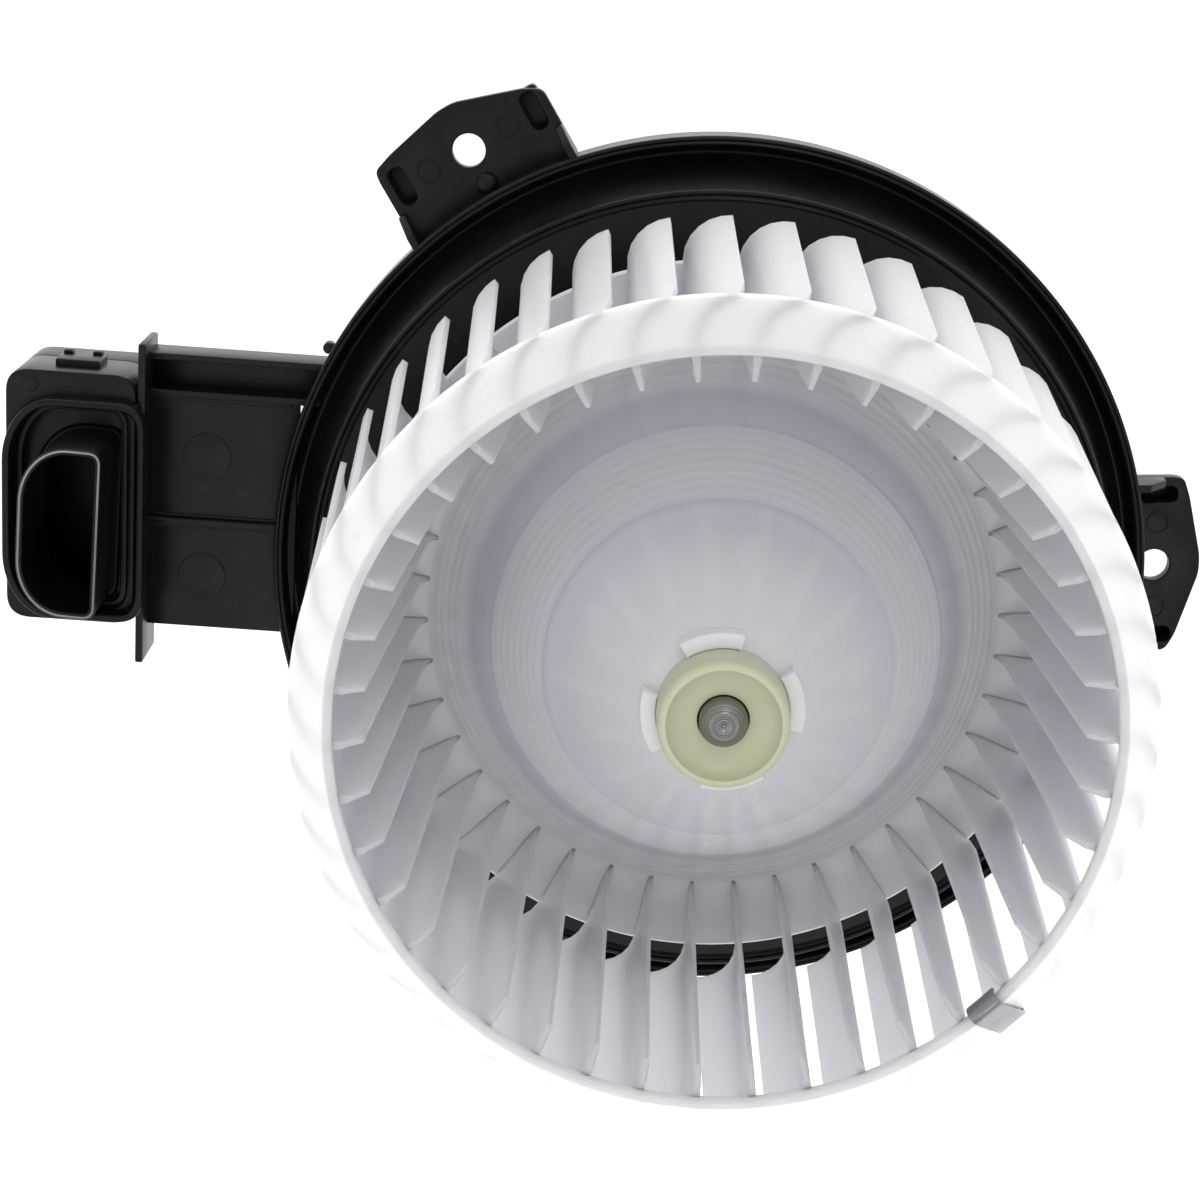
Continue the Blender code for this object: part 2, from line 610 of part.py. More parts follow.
def motor_rear_cover():
    wall, edge = COVER_WALL, 1.0 * MM
    cover = turned("motor_rear_cover", [
        (0.0, COVER_FLOOR), (cover_outer - wall, COVER_FLOOR), (cover_outer - wall, lug_top),
        (cover_outer, lug_top), (cover_outer, edge), (cover_outer - edge, 0.0), (0.0, 0.0),
    ], black_plastic, closed=False)
    for i in range(SCREW_COUNT):
        angle = screw_angle(i)
        place = polar(boss_circle, angle)
        half = SCREW_HEAD_RADIUS + 0.4 * MM
        join(cover, block(f"cover_lug_bridge_{i + 1}", (cover_outer - wall / 2, -half, lug_bottom),
                          (boss_circle, half, lug_top), turn=angle))
        join(cover, rod(f"cover_lug_{i + 1}", half, lug_bottom, lug_top, place, steps=20))
        cut(cover, rod(f"cover_lug_hole_{i + 1}", SCREW_RADIUS + GAP, lug_bottom - MM,
                       lug_top + MM, place, steps=16, guide=True))
        screw_at(f"cover_screw_{i + 1}", place, lug_bottom - GAP,
                 flange_back - 2.0 * MM - GAP - (lug_bottom - GAP))
    # window for the cooling air, opposite the duct's open end
    window = DUCT_HALF_WIDTH - DUCT_WALL
    cut(cover, prism("cover_window",
                     [(cover_outer - 3 * wall, arm_y(DUCT_NORTH + window)),
                      (cover_outer + wall, arm_y(DUCT_NORTH + window)),
                      (cover_outer + wall, arm_y(DUCT_NORTH - window)),
                      (cover_outer - 3 * wall, arm_y(DUCT_NORTH - window))],
                     duct_bottom + DUCT_WALL, duct_top - DUCT_WALL, guide=True, turn=ARM_ANGLE))
    # window for the connector, through the wall on the far side
    cut(cover, block("connector_window",
                     (cover_outer - 3 * wall, -CONNECTOR_HALF_WIDTH - GAP, connector_low - GAP),
                     (cover_outer + wall, CONNECTOR_HALF_WIDTH + GAP, connector_high + GAP),
                     guide=True, turn=CONNECTOR_ANGLE))
    return cover


def connector():
    turn, wall = CONNECTOR_ANGLE, 1.5 * MM
    shell = block("connector_housing", (connector_inner, -CONNECTOR_HALF_WIDTH, connector_low),
                  (connector_outer, CONNECTOR_HALF_WIDTH, connector_high), black_plastic, turn=turn)
    back = connector_inner + 4.0 * MM
    cut(shell, block("connector_socket",
                     (back, -CONNECTOR_HALF_WIDTH + wall, connector_low + wall),
                     (connector_outer + MM, CONNECTOR_HALF_WIDTH - wall, connector_high - wall),
                     guide=True, turn=turn))
    height = (connector_low + connector_high) / 2
    for name, side in (("terminal_positive", -1), ("terminal_negative", 1)):
        y, half, thick = side * 4.0 * MM, 1.6 * MM, 0.4 * MM
        cut(shell, block(f"{name}_slot",
                         (connector_inner - MM, y - half - GAP, height - thick - GAP),
                         (back + MM, y + half + GAP, height + thick + GAP), guide=True, turn=turn))
        block(name, (connector_inner - 1.0 * MM, y - half, height - thick),
              (connector_outer - 3.0 * MM, y + half, height + thick), brass, turn=turn)
    return shell


def motor_can():
    r, wall = CAN_RADIUS, CAN_WALL
    boss_r = BEARING_RADIUS + GAP
    boss_top = can_top + BOSS_HEIGHT
    profile = [
        (SHAFT_RADIUS + 1.0 * MM, boss_top), (boss_r + wall, boss_top),
        (boss_r + wall, can_top), (r - 5.0 * MM, can_top), (r - 1.5 * MM, can_top - 1.4 * MM),
        (r, can_top - 5.0 * MM), (r, can_bottom), (r - wall, can_bottom),
        (r - wall, can_top - 5.5 * MM), (r - wall - 1.5 * MM, can_top - wall - 1.4 * MM),
        (r - wall - 4.0 * MM, can_top - wall), (boss_r + wall, can_top - wall),
        (boss_r + wall, front_bearing_bottom + MM), (boss_r, front_bearing_bottom + MM),
        (boss_r, boss_top - wall), (SHAFT_RADIUS + 1.0 * MM, boss_top - wall),
    ]
    return turned("motor_can", profile, zinc_steel, steps=36)


def end_bracket():
    """Plate that closes the can's open end and carries the rear bearing."""
    top = can_bottom - GAP
    boss_r = BEARING_RADIUS + GAP
    profile = [
        (boss_r, rear_bearing_top - MM), (boss_r + 2.0 * MM, rear_bearing_top - MM),
        (boss_r + 2.0 * MM, top), (CAN_RADIUS, top), (CAN_RADIUS, top - BRACKET_THICKNESS),
        (boss_r + 2.0 * MM, top - BRACKET_THICKNESS),
        (boss_r + 1.0 * MM, top - 3.6 * MM), (SHAFT_RADIUS + 1.0 * MM, top - 3.6 * MM),
        (SHAFT_RADIUS + 1.0 * MM, top - 2.4 * MM), (boss_r, top - 2.4 * MM),
    ]
    bracket = turned("end_bracket", profile, zinc_steel, steps=48)
    for i in range(4):                                # slots that let the cooling air through
        cut(bracket, block(f"bracket_slot_{i + 1}", (15.0 * MM, -3.5 * MM, top - 4.0 * MM),
                           (CAN_RADIUS - 5.0 * MM, 3.5 * MM, top + MM), guide=True,
                           turn=45.0 + 90.0 * i))
    return bracket


def sector(name, inner, outer, start, end, bottom, top, finish, steps=14):
    outline = corner_arc((0, 0), outer, start, end, steps) + corner_arc((0, 0), inner, end, start, steps)
    return prism(name, outline, bottom, top, finish)


def stator():
    low, high = core_bottom - 4.0 * MM, core_top + 3.0 * MM
    sector("magnet_upper", magnet_inner, magnet_outer, 22, 158, low, high, ferrite)
    sector("magnet_lower", magnet_inner, magnet_outer, 202, 338, low, high, ferrite)
    for name, middle in (("magnet_clip_right", 0), ("magnet_clip_left", 180)):
        sector(name, magnet_outer - 1.2 * MM, magnet_outer, middle - 20, middle + 20, low, high,
               bright_steel, steps=5)


def bearing(name, bottom, top):
    bore = SHAFT_RADIUS + GAP
    turned(name, [
        (bore, top), (BEARING_RADIUS - 1.5 * MM, top), (BEARING_RADIUS, top - 1.5 * MM),
        (BEARING_RADIUS, bottom + 1.5 * MM), (BEARING_RADIUS - 1.5 * MM, bottom), (bore, bottom),
    ], bronze, steps=SMALL_STEPS)


def washer(name, inner, outer, bottom, top, finish, steps=SMALL_STEPS):
    return turned(name, [(inner, top), (outer, top), (outer, bottom), (inner, bottom)], finish,
                  steps=steps)


def bearings():
    bearing("front_bearing", front_bearing_bottom, front_bearing_top)
    bearing("rear_bearing", rear_bearing_bottom, rear_bearing_top)
    bore = SHAFT_RADIUS + GAP
    rim = BEARING_RADIUS - 1.0 * MM
    washer("front_thrust_washer", bore, rim, front_bearing_bottom - GAP - WASHER_THICKNESS,
           front_bearing_bottom - GAP, clear_plastic)
    washer("rear_thrust_washer", bore, rim, rear_bearing_top + GAP,
           rear_bearing_top + GAP + WASHER_THICKNESS, clear_plastic)


def shaft():
    r = SHAFT_RADIUS
    bottom = rear_bearing_bottom - 0.8 * MM
    chamfer = 1.3 * MM
    return turned("shaft", [
        (0.0, shaft_tip), (r - chamfer, shaft_tip), (r, shaft_tip - 0.9 * MM),
        (r, bottom + 0.6 * MM), (r - 0.6 * MM, bottom), (0.0, bottom),
    ], bright_steel, closed=False, steps=24)


def armature():
    bore = SHAFT_RADIUS + GAP
    tip, neck = core_radius, core_radius - 2.2 * MM
    root = BEARING_RADIUS + CAN_WALL + 3 * GAP
    step = 360.0 / POLE_COUNT
    outline = []
    for i in range(POLE_COUNT):
        middle = i * step
        for radius, share in ((root, -0.5), (root, -0.20), (neck, -0.11), (neck, -0.40),
                              (tip, -0.42), (tip, -0.14), (tip, 0.14), (tip, 0.42), (neck, 0.40),
                              (neck, 0.11), (root, 0.20)):
            outline.append(polar(radius, middle + share * step))
    core = prism("armature_core", outline, core_bottom, core_top, lamination)
    cut(core, rod("armature_bore", bore, core_bottom - MM, core_top + MM, steps=24, guide=True))

    head_outer, head_inner, head = neck - 0.6 * MM, root + 0.6 * MM, WINDING_HEAD

    def head_ring(name, low, high):
        return turned(name, [
            (head_inner, high - 1.5 * MM), (head_inner + 2.0 * MM, high), (head_outer - 2.5 * MM, high),
            (head_outer, high - 2.5 * MM), (head_outer, low + 1.5 * MM), (head_outer - MM, low),
            (head_inner, low),
        ], copper, steps=24)

    winding = head_ring("armature_winding", core_top + GAP, core_top + GAP + head)
    other = head_ring("winding_rear_head", core_bottom - GAP - head, core_bottom - GAP)
    other.data.materials.clear()
    join(winding, other)
    for i in range(POLE_COUNT):                       # the bundles that lie in the slots
        join(winding, block(f"winding_bundle_{i + 1}",
                            (head_inner + 0.8 * MM, -0.9 * MM, core_bottom - 2.0 * MM),
                            (head_outer - 0.8 * MM, 0.9 * MM, core_top + 2.0 * MM),
                            turn=(i + 0.5) * step))

    commutator_top = commutator_bottom + COMMUTATOR_LENGTH
    bars = []
    groove = 0.9 * MM
    for i in range(POLE_COUNT):
        middle = i * step
        for radius, share in ((COMMUTATOR_RADIUS - groove, -0.5), (COMMUTATOR_RADIUS - groove, -0.44),
                              (COMMUTATOR_RADIUS, -0.44), (COMMUTATOR_RADIUS, -0.15),
                              (COMMUTATOR_RADIUS, 0.15), (COMMUTATOR_RADIUS, 0.44),
                              (COMMUTATOR_RADIUS - groove, 0.44)):
            bars.append(polar(radius, middle + share * step))
    commutator = prism("commutator", bars, commutator_bottom, commutator_top, copper)
    cut(commutator, rod("commutator_bore", bore, commutator_bottom - MM, commutator_top + MM,
                        steps=24, guide=True))


def brush_gear():
    """A card across the can's open end with two brush holders, their brushes and springs."""
    middle = commutator_bottom + COMMUTATOR_LENGTH / 2
    low = middle - BRUSH_HEIGHT / 2 - 1.0 * MM - 2 * GAP
    card_top, card_bottom = low - GAP, low - GAP - 2.0 * MM
    plate = turned("brush_card", [
        (COMMUTATOR_RADIUS + 1.5 * MM, card_top), (CAN_RADIUS - CAN_WALL - 2 * GAP, card_top),
        (CAN_RADIUS - CAN_WALL - 2 * GAP, card_bottom), (COMMUTATOR_RADIUS + 1.5 * MM, card_bottom),
    ], card, steps=48)
    inner = COMMUTATOR_RADIUS + 1.2 * MM
    outer = CAN_RADIUS - CAN_WALL - 2.0 * MM
    wall = 0.8 * MM
    half, tall = BRUSH_WIDTH / 2, BRUSH_HEIGHT / 2
    for side, turn in (("right", 0.0), ("left", 180.0)):
        holder = block(f"brush_holder_{side}",
                       (inner, -half - GAP - wall, middle - tall - GAP - wall),
                       (outer, half + GAP + wall, middle + tall + GAP + wall), brass, turn=turn)
        cut(holder, block(f"brush_channel_{side}", (inner - MM, -half - GAP, middle - tall - GAP),
                          (outer - wall, half + GAP, middle + tall + GAP), guide=True, turn=turn))
        face = COMMUTATOR_RADIUS + GAP
        tail = face + BRUSH_LENGTH
        block(f"brush_{side}", (face, -half, middle - tall), (tail, half, middle + tall), carbon,
              turn=turn)
        brush_spring(f"brush_spring_{side}", tail + GAP, outer - wall - GAP, middle, turn)
    for number, (x, y) in enumerate(((0.0, 1.0), (0.0, -1.0)), 1):
        choke(f"choke_coil_{number}", (x * 21.5 * MM, y * 21.5 * MM), card_top + GAP)
    return plate


def brush_spring(name, start, end, height, turn):
    """A coil spring along the brush's line: turns of a helix between two ends."""
    turns, radius, wire = 3, 2.2 * MM, 0.35 * MM
    points = 9 * turns + 1
    curve = bpy.data.curves.new(name, "CURVE")
    curve.dimensions = "3D"
    curve.bevel_depth = wire
    curve.bevel_resolution = 1
    curve.use_fill_caps = True
    spline = curve.splines.new("POLY")
    spline.points.add(points - 1)
    for i, point in enumerate(spline.points):
        share = i / (points - 1)
        angle = share * turns * 2 * math.pi
        x = start + wire + (end - start - 2 * wire) * share
        point.co = (x, radius * math.cos(angle), height + radius * math.sin(angle), 1.0)
    source = bpy.data.objects.new(name + "_path", curve)
    parts.objects.link(source)
    source.rotation_euler.z = math.radians(turn)
    return solid_from_curve(source, name, bright_steel)


def choke(name, center, bottom):
    """A suppression coil: a ribbed bobbin of wire that stands on the card."""
    ribs, pitch, r = 4, 1.8 * MM, 2.6 * MM
    profile = [(0.0, ribs * pitch)]
    for i in range(ribs):
        top = (ribs - i) * pitch
        profile += [(r - 0.4 * MM, top), (r, top - 0.3 * pitch), (r, top - 0.7 * pitch)]
    profile += [(r - 0.4 * MM, 0.0), (0.0, 0.0)]
    made = turned(name, profile, copper, closed=False, steps=12)
    made.location = (*center, bottom)
    return made


def isolator_ring():
    """Rubber ring that holds the can in the flange's sleeve."""
    r, thick = CAN_RADIUS + GAP, ISOLATOR_THICKNESS
    low, high = lug_top + 2.0 * MM, flange_face + 6.0 * MM
    return turned("isolator_ring", [
        (r, high), (r + thick - 0.6 * MM, high), (r + thick, high - 0.6 * MM),
        (r + thick, low + 0.6 * MM), (r + thick - 0.6 * MM, low), (r, low),
    ], rubber, steps=32)


def wheel_hub():
    bore = SHAFT_RADIUS + GAP
    r, top = HUB_RADIUS, hub_top
    low = hub_seat - 9.0 * MM
    return turned("wheel_hub", [
        (bore, top - 2.6 * MM), (bore + 1.6 * MM, top - 2.6 * MM), (r - 3.2 * MM, top - 1.4 * MM),
        (r - 2.0 * MM, top - 0.3 * MM), (r - 1.2 * MM, top), (r - 0.3 * MM, top - 0.5 * MM),
        (r, top - 1.6 * MM), (r, low), (bore, low),
    ], cream_nylon, steps=32)


def base_disc():
    """The wheel's cone: from the hub down to a flat rim that lies in between the blades."""
    bore = HUB_RADIUS + GAP
    radii = [hub_seat_radius + (skirt_radius - hub_seat_radius) * i / 4 for i in range(5)]
    front = [(r, hub_seat - cone_drop(r)) for r in radii]
    front += [(skirt_radius + 2.2 * MM, rim_face - 0.3 * MM)]
    front += [(disc_rim_radius - 0.6 * MM, rim_face - 0.3 * MM)]
    edge = [(disc_rim_radius, rim_face - 0.8 * MM), (disc_rim_radius, rim_face - 0.3 * MM - DISC_WALL)]
    back = [(disc_rim_radius - 2.0 * MM, rim_face - 0.3 * MM - DISC_WALL)]
    back += [(skirt_radius + 1.2 * MM, rim_face - 0.3 * MM - DISC_WALL)]
    back += [(r - 0.6 * MM, hub_seat - cone_drop(r) - 1.3 * DISC_WALL) for r in reversed(radii[1:-1])]
    socket = [(HUB_RADIUS + 2.6 * MM, hub_seat - 3.5 * MM), (HUB_RADIUS + 2.6 * MM, hub_seat - 8.0 * MM),
              (bore, hub_seat - 8.0 * MM)]
    disc = turned("wheel_base_disc", [(bore, hub_seat)] + front + edge + back + socket, clear_plastic)
    for i in range(4):                                # raised tabs that hold the hub
        outline = (
            corner_arc((0, 0), HUB_RADIUS + 2.7 * MM, -24, 24, 5)
            + corner_arc((0, 0), HUB_RADIUS + 0.5 * MM, 24, -24, 5)
        )
        join(disc, prism(f"hub_tab_{i + 1}", outline, hub_seat - 3.0 * MM, hub_seat + 0.9 * MM,
                         turn=98.0 + 90.0 * i))
    return disc


def blade_section(full_outer, outside, inside, height):
    """Points of one blade's section at a height: out along one face and back along the other.

    The camber is a quarter ellipse from the outer tip, then a radial line to the inner end.
    """
    steps = 3
    bend = BLADE_CHORD / 2
    flat = []
    for i in range(steps + 1):
        radius = outside - (outside - inside) * (1 - math.cos(0.5 * math.pi * i / steps))
        share = min(1.0, (full_outer - radius) / bend)
        angle = BLADE_SWEEP * math.sqrt(1 - (1 - share) ** 2)
        flat.append(Vector((radius * math.cos(angle), radius * math.sin(angle))))
    sides = ([], [])
    for i, point in enumerate(flat):
        ahead = flat[min(i + 1, steps)] - flat[max(i - 1, 0)]
        normal = Vector((-ahead.y, ahead.x)).normalized() * (BLADE_THICKNESS / 2)
        sides[0].append((*(point + normal), height))
        sides[1].append((*(point - normal), height))
    return sides[0] + sides[1][::-1]


def blade_mesh():
    """One blade: its sections joined from the free end up to the ring."""
    inner = blade_tip - BLADE_CHORD

    def outer_at(height):
        share = (height - blade_end) / (ring_edge - blade_end)
        return blade_tip + (blade_outer - blade_tip) * min(1.0, share)

    def ring_line(height):
        share = (height - ring_edge) / RING_RISE
        return RING_RADIUS - 0.45 * RING_WALL - RING_WIDTH * share

    low, high = rim_face + 9.0 * MM, ring_edge + 4.2 * MM
    top = ring_edge + 0.75 * RING_RISE
    levels = (
        (blade_end - 1.2 * MM, inner - 1.2 * MM),
        (low, inner),
        (ring_edge, inner - 0.5 * MM),
        (high, inner - 0.5 * MM),
        (top, RING_RADIUS - RING_WIDTH - 1.6 * MM),
    )
    work = bmesh.new()
    rows = []
    for height, inside in levels:
        outer = outer_at(height)
        outside = outer if height <= ring_edge else min(outer, ring_line(height))
        section = blade_section(outer, outside, inside, height)
        rows.append([work.verts.new(p) for p in section])
    for below, above in zip(rows, rows[1:]):
        count = len(below)
        for i in range(count):
            j = (i + 1) % count
            work.faces.new((below[i], below[j], above[j], above[i]))
    work.faces.new(rows[0][::-1])
    work.faces.new(rows[-1])
    bmesh.ops.triangulate(work, faces=work.faces)
    bmesh.ops.recalc_face_normals(work, faces=work.faces)
    mesh = bpy.data.meshes.new("blade")
    work.to_mesh(mesh)
    work.free()
    return mesh


def blade_cage():
    """The blades and the cone shaped inlet ring that ties their front ends together."""
    inner, wall = RING_RADIUS - RING_WIDTH, RING_WALL
    cage = turned("wheel_blade_cage", [
        (inner, ring_front), (inner + 1.4 * MM, ring_front), (RING_RADIUS - 0.3 * MM, ring_edge + 0.8 * MM),
        (RING_RADIUS, ring_edge), (RING_RADIUS - 0.6 * MM, ring_edge - 0.9 * MM),
        (RING_RADIUS - wall, ring_edge - 0.9 * MM), (inner, ring_front - wall - 0.6 * MM),
    ], clear_plastic, steps=BLADE_COUNT)
    mesh = blade_mesh()
    work = bmesh.new()
    for i in range(BLADE_COUNT):
        angle = math.radians(FIRST_BLADE + i * 360.0 / BLADE_COUNT)
        before = set(work.verts)
        work.from_mesh(mesh)
        fresh = [v for v in work.verts if v not in before]
        bmesh.ops.rotate(work, verts=fresh, cent=(0, 0, 0), matrix=Matrix.Rotation(angle, 3, "Z"))
    all_blades = bpy.data.meshes.new("all_blades")
    work.to_mesh(all_blades)
    work.free()
    bpy.data.meshes.remove(mesh)
    join(cage, add_object("all_blades", all_blades, guide=True))
    # the blades stand on the disc's rim, and only their outer parts run on behind it
    cut(cage, rod("disc_room", disc_rim_radius + GAP, blade_end - 4.0 * MM, rim_face + GAP,
                  steps=ROUND_STEPS, guide=True))
    return cage


def balance_clip():
    """A bent steel strip pushed over the ring's front edge."""
    inner, wall, thick = RING_RADIUS - RING_WIDTH, RING_WALL, 0.6 * MM
    run = math.hypot(RING_WIDTH, RING_RISE)
    along = Vector((RING_WIDTH / run, -RING_RISE / run))
    out = Vector((RING_RISE / run, RING_WIDTH / run))
    start = Vector((inner, ring_front))
    length, half = 5.5 * MM, 2.8 * MM
    gap_out, gap_in = 1.6 * MM, wall + 1.6 * MM
    tip = -along * 1.6 * MM
    legs = [
        start + out * (gap_out + thick) + along * length, start + out * gap_out + along * length,
        start + out * gap_out + tip * 0.6, start - out * gap_in + tip * 0.6,
        start - out * gap_in + along * length * 0.7, start - out * (gap_in + thick) + along * length * 0.7,
        start - out * (gap_in + thick) + tip * 1.1, start + out * (gap_out + thick) + tip * 1.1,
    ]
    work = bmesh.new()
    rows = [[work.verts.new((p.x, side * half, p.y)) for p in legs] for side in (-1, 1)]
    count = len(legs)
    for i in range(count):
        j = (i + 1) % count
        work.faces.new((rows[0][i], rows[0][j], rows[1][j], rows[1][i]))
    work.faces.new(rows[0])
    work.faces.new(rows[1][::-1])
    bmesh.ops.recalc_face_normals(work, faces=work.faces)
    mesh = bpy.data.meshes.new("balance_clip")
    work.to_mesh(mesh)
    work.free()
    clip = add_object("balance_clip", mesh, bright_steel)
    middle = FIRST_BLADE + (CLIP_BLADE - 0.5) * 360.0 / BLADE_COUNT
    clip.rotation_euler.z = math.radians(middle) + BLADE_SWEEP
    return clip


mounting_flange()
duct_scoop()
duct_lower_shell()
motor_rear_cover()
connector()
motor_can()
end_bracket()
stator()
bearings()
shaft()
armature()
brush_gear()
isolator_ring()
wheel_hub()
base_disc()
blade_cage()
balance_clip()

# the turning pieces hang on an empty on the shaft's axis
spin = bpy.data.objects.new("shaft_axis", None)
parts.objects.link(spin)
for turning in ("shaft", "armature_core", "armature_winding", "commutator", "wheel_hub",
                "wheel_base_disc", "wheel_blade_cage", "balance_clip",
                "front_thrust_washer", "rear_thrust_washer"):
    bpy.data.objects[turning].parent = spin

for made in parts.objects:
    if made.type == "MESH":
        round_by_angle(made)
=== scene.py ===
import math

import bpy
import numpy as np
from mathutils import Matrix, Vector
from mathutils.geometry import tessellate_polygon


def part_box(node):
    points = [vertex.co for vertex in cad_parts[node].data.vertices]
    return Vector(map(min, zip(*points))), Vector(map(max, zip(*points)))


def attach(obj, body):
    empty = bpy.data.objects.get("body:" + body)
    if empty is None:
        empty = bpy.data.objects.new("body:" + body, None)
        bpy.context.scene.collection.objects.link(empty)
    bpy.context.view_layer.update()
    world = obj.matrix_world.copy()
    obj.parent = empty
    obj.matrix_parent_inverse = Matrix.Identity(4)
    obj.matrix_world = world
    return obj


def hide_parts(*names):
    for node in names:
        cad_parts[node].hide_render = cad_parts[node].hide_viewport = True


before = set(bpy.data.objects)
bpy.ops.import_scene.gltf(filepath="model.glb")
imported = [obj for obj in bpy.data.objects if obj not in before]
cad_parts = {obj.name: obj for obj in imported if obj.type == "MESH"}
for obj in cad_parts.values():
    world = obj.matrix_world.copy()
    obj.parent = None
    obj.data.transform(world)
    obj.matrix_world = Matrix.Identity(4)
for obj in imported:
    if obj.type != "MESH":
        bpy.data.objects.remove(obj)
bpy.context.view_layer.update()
mm = 0.001                            # shapes are built in mm; piece() brings them to metres
print("frame loaded:", len(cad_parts), "nodes")


def ends(name):
    # a node's lowest and highest corners
    return [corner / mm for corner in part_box(name)]


# heights along the shaft, read off the frame
ringFront = ends("wheel_blade_cage")[1].z
ringEdge = ringFront - 8.5
hubTop = ends("wheel_hub")[1].z
hubSeat = hubTop - 8.6
shaftTip = ends("shaft")[1].z
flangeFace = ends("mounting_flange")[1].z - 8.0
rimEdge = flangeFace - 11.5
earFace = rimEdge - 7.0
armFloor = earFace + 3.0
snoutTop = ends("duct_scoop")[1].z
plateTop = snoutTop - 15.0
scoopBottom = ends("duct_scoop")[0].z


def grid(points, closed=False):
    # quads over a (rows, columns, 3) array: row i and i + 1, column j and j + 1; columns run round,
    # and rows too where closed
    rows, columns = points.shape[:2]
    i = np.arange(rows if closed else rows - 1)[:, None]
    j = np.arange(columns)[None, :]
    i2, j2 = (i + 1) % rows, (j + 1) % columns
    quads = np.stack([i * columns + j, i * columns + j2, i2 * columns + j2, i2 * columns + j], -1)
    return points.reshape(-1, 3), quads.reshape(-1, 4).tolist()


def merged(*parts):
    # several (points, faces) pairs as one, each pair's faces counted on from the one before
    faces, start = [], 0
    for points, own in parts:
        faces += [[v + start for v in face] for face in own]
        start += len(points)
    return np.concatenate([points for points, own in parts]), faces


def filleted(corners, radius, steps=5):
    # each corner V of a closed line becomes (1-t)^2 A + 2t(1-t) V + t^2 B, with A and B a radius
    # away from it on its two sides
    v = np.asarray(corners, float)
    back, ahead = np.roll(v, 1, 0) - v, np.roll(v, -1, 0) - v
    backLong, aheadLong = np.linalg.norm(back, axis=1), np.linalg.norm(ahead, axis=1)
    r = np.minimum(np.broadcast_to(radius, len(v)), 0.48 * np.minimum(backLong, aheadLong))
    a = v + back * (r / backLong)[:, None]
    b = v + ahead * (r / aheadLong)[:, None]
    t = np.linspace(0, 1, steps)[None, :, None]
    line = (1 - t) ** 2 * a[:, None] + 2 * t * (1 - t) * v[:, None] + t ** 2 * b[:, None]
    return line.reshape(-1, 2)


def evened(values):
    # each value becomes the mean of five
    return np.convolve(np.pad(values, 2, mode="edge"), np.ones(5) / 5, "valid")


def densed(line, step):
    # a closed line with extra points, so that no stretch of it is longer than step
    ahead = np.roll(line, -1, 0)
    count = np.maximum(1, np.ceil(np.linalg.norm(ahead - line, axis=1) / step).astype(int))
    t = np.concatenate([np.arange(c) / c for c in count])[:, None]
    return np.repeat(line, count, 0) * (1 - t) + np.repeat(ahead, count, 0) * t


def turned(profile, steps=192, lift=None):
    # x = r cos a, y = r sin a, z = z: a closed (r, z) profile run round the shaft; lift(r, z, a) adds to z
    a = np.linspace(0, 2 * np.pi, steps, endpoint=False)[None, :]
    r, z = profile[:, :1], profile[:, 1:]
    high = z + (0 if lift is None else lift(r, z, a))
    points = np.stack([r * np.cos(a), r * np.sin(a), high + 0 * a], -1)
    # the profile runs clockwise in the (r, z) plane, so that faces point out
    area = np.sum(profile[:, 0] * np.roll(profile[:, 1], -1) - profile[:, 1] * np.roll(profile[:, 0], -1))
    return grid(points if area < 0 else points[::-1], closed=True)


def capped(profile, steps=96):
    # a turned solid whose open (r, z) profile starts and ends on the shaft: fans close both poles
    a = np.linspace(0, 2 * np.pi, steps, endpoint=False)[None, :]
    inner = profile[1:-1]
    points = np.stack([inner[:, :1] * np.cos(a), inner[:, :1] * np.sin(a), inner[:, 1:] + 0 * a], -1)
    body, faces = grid(points)
    last = len(inner) - 1
    ring = np.arange(steps)
    top, bottom = len(body), len(body) + 1
    faces += np.stack([np.full(steps, top), np.roll(ring, -1), ring], -1).tolist()
    low = ring + last * steps
    faces += np.stack([np.full(steps, bottom), low, np.roll(low, -1)], -1).tolist()
    ends = np.array([[0, 0, profile[0, 1]], [0, 0, profile[-1, 1]]])
    if profile[0, 1] > profile[-1, 1]:
        faces = [face[::-1] for face in faces]
    return np.concatenate([body, ends]), faces


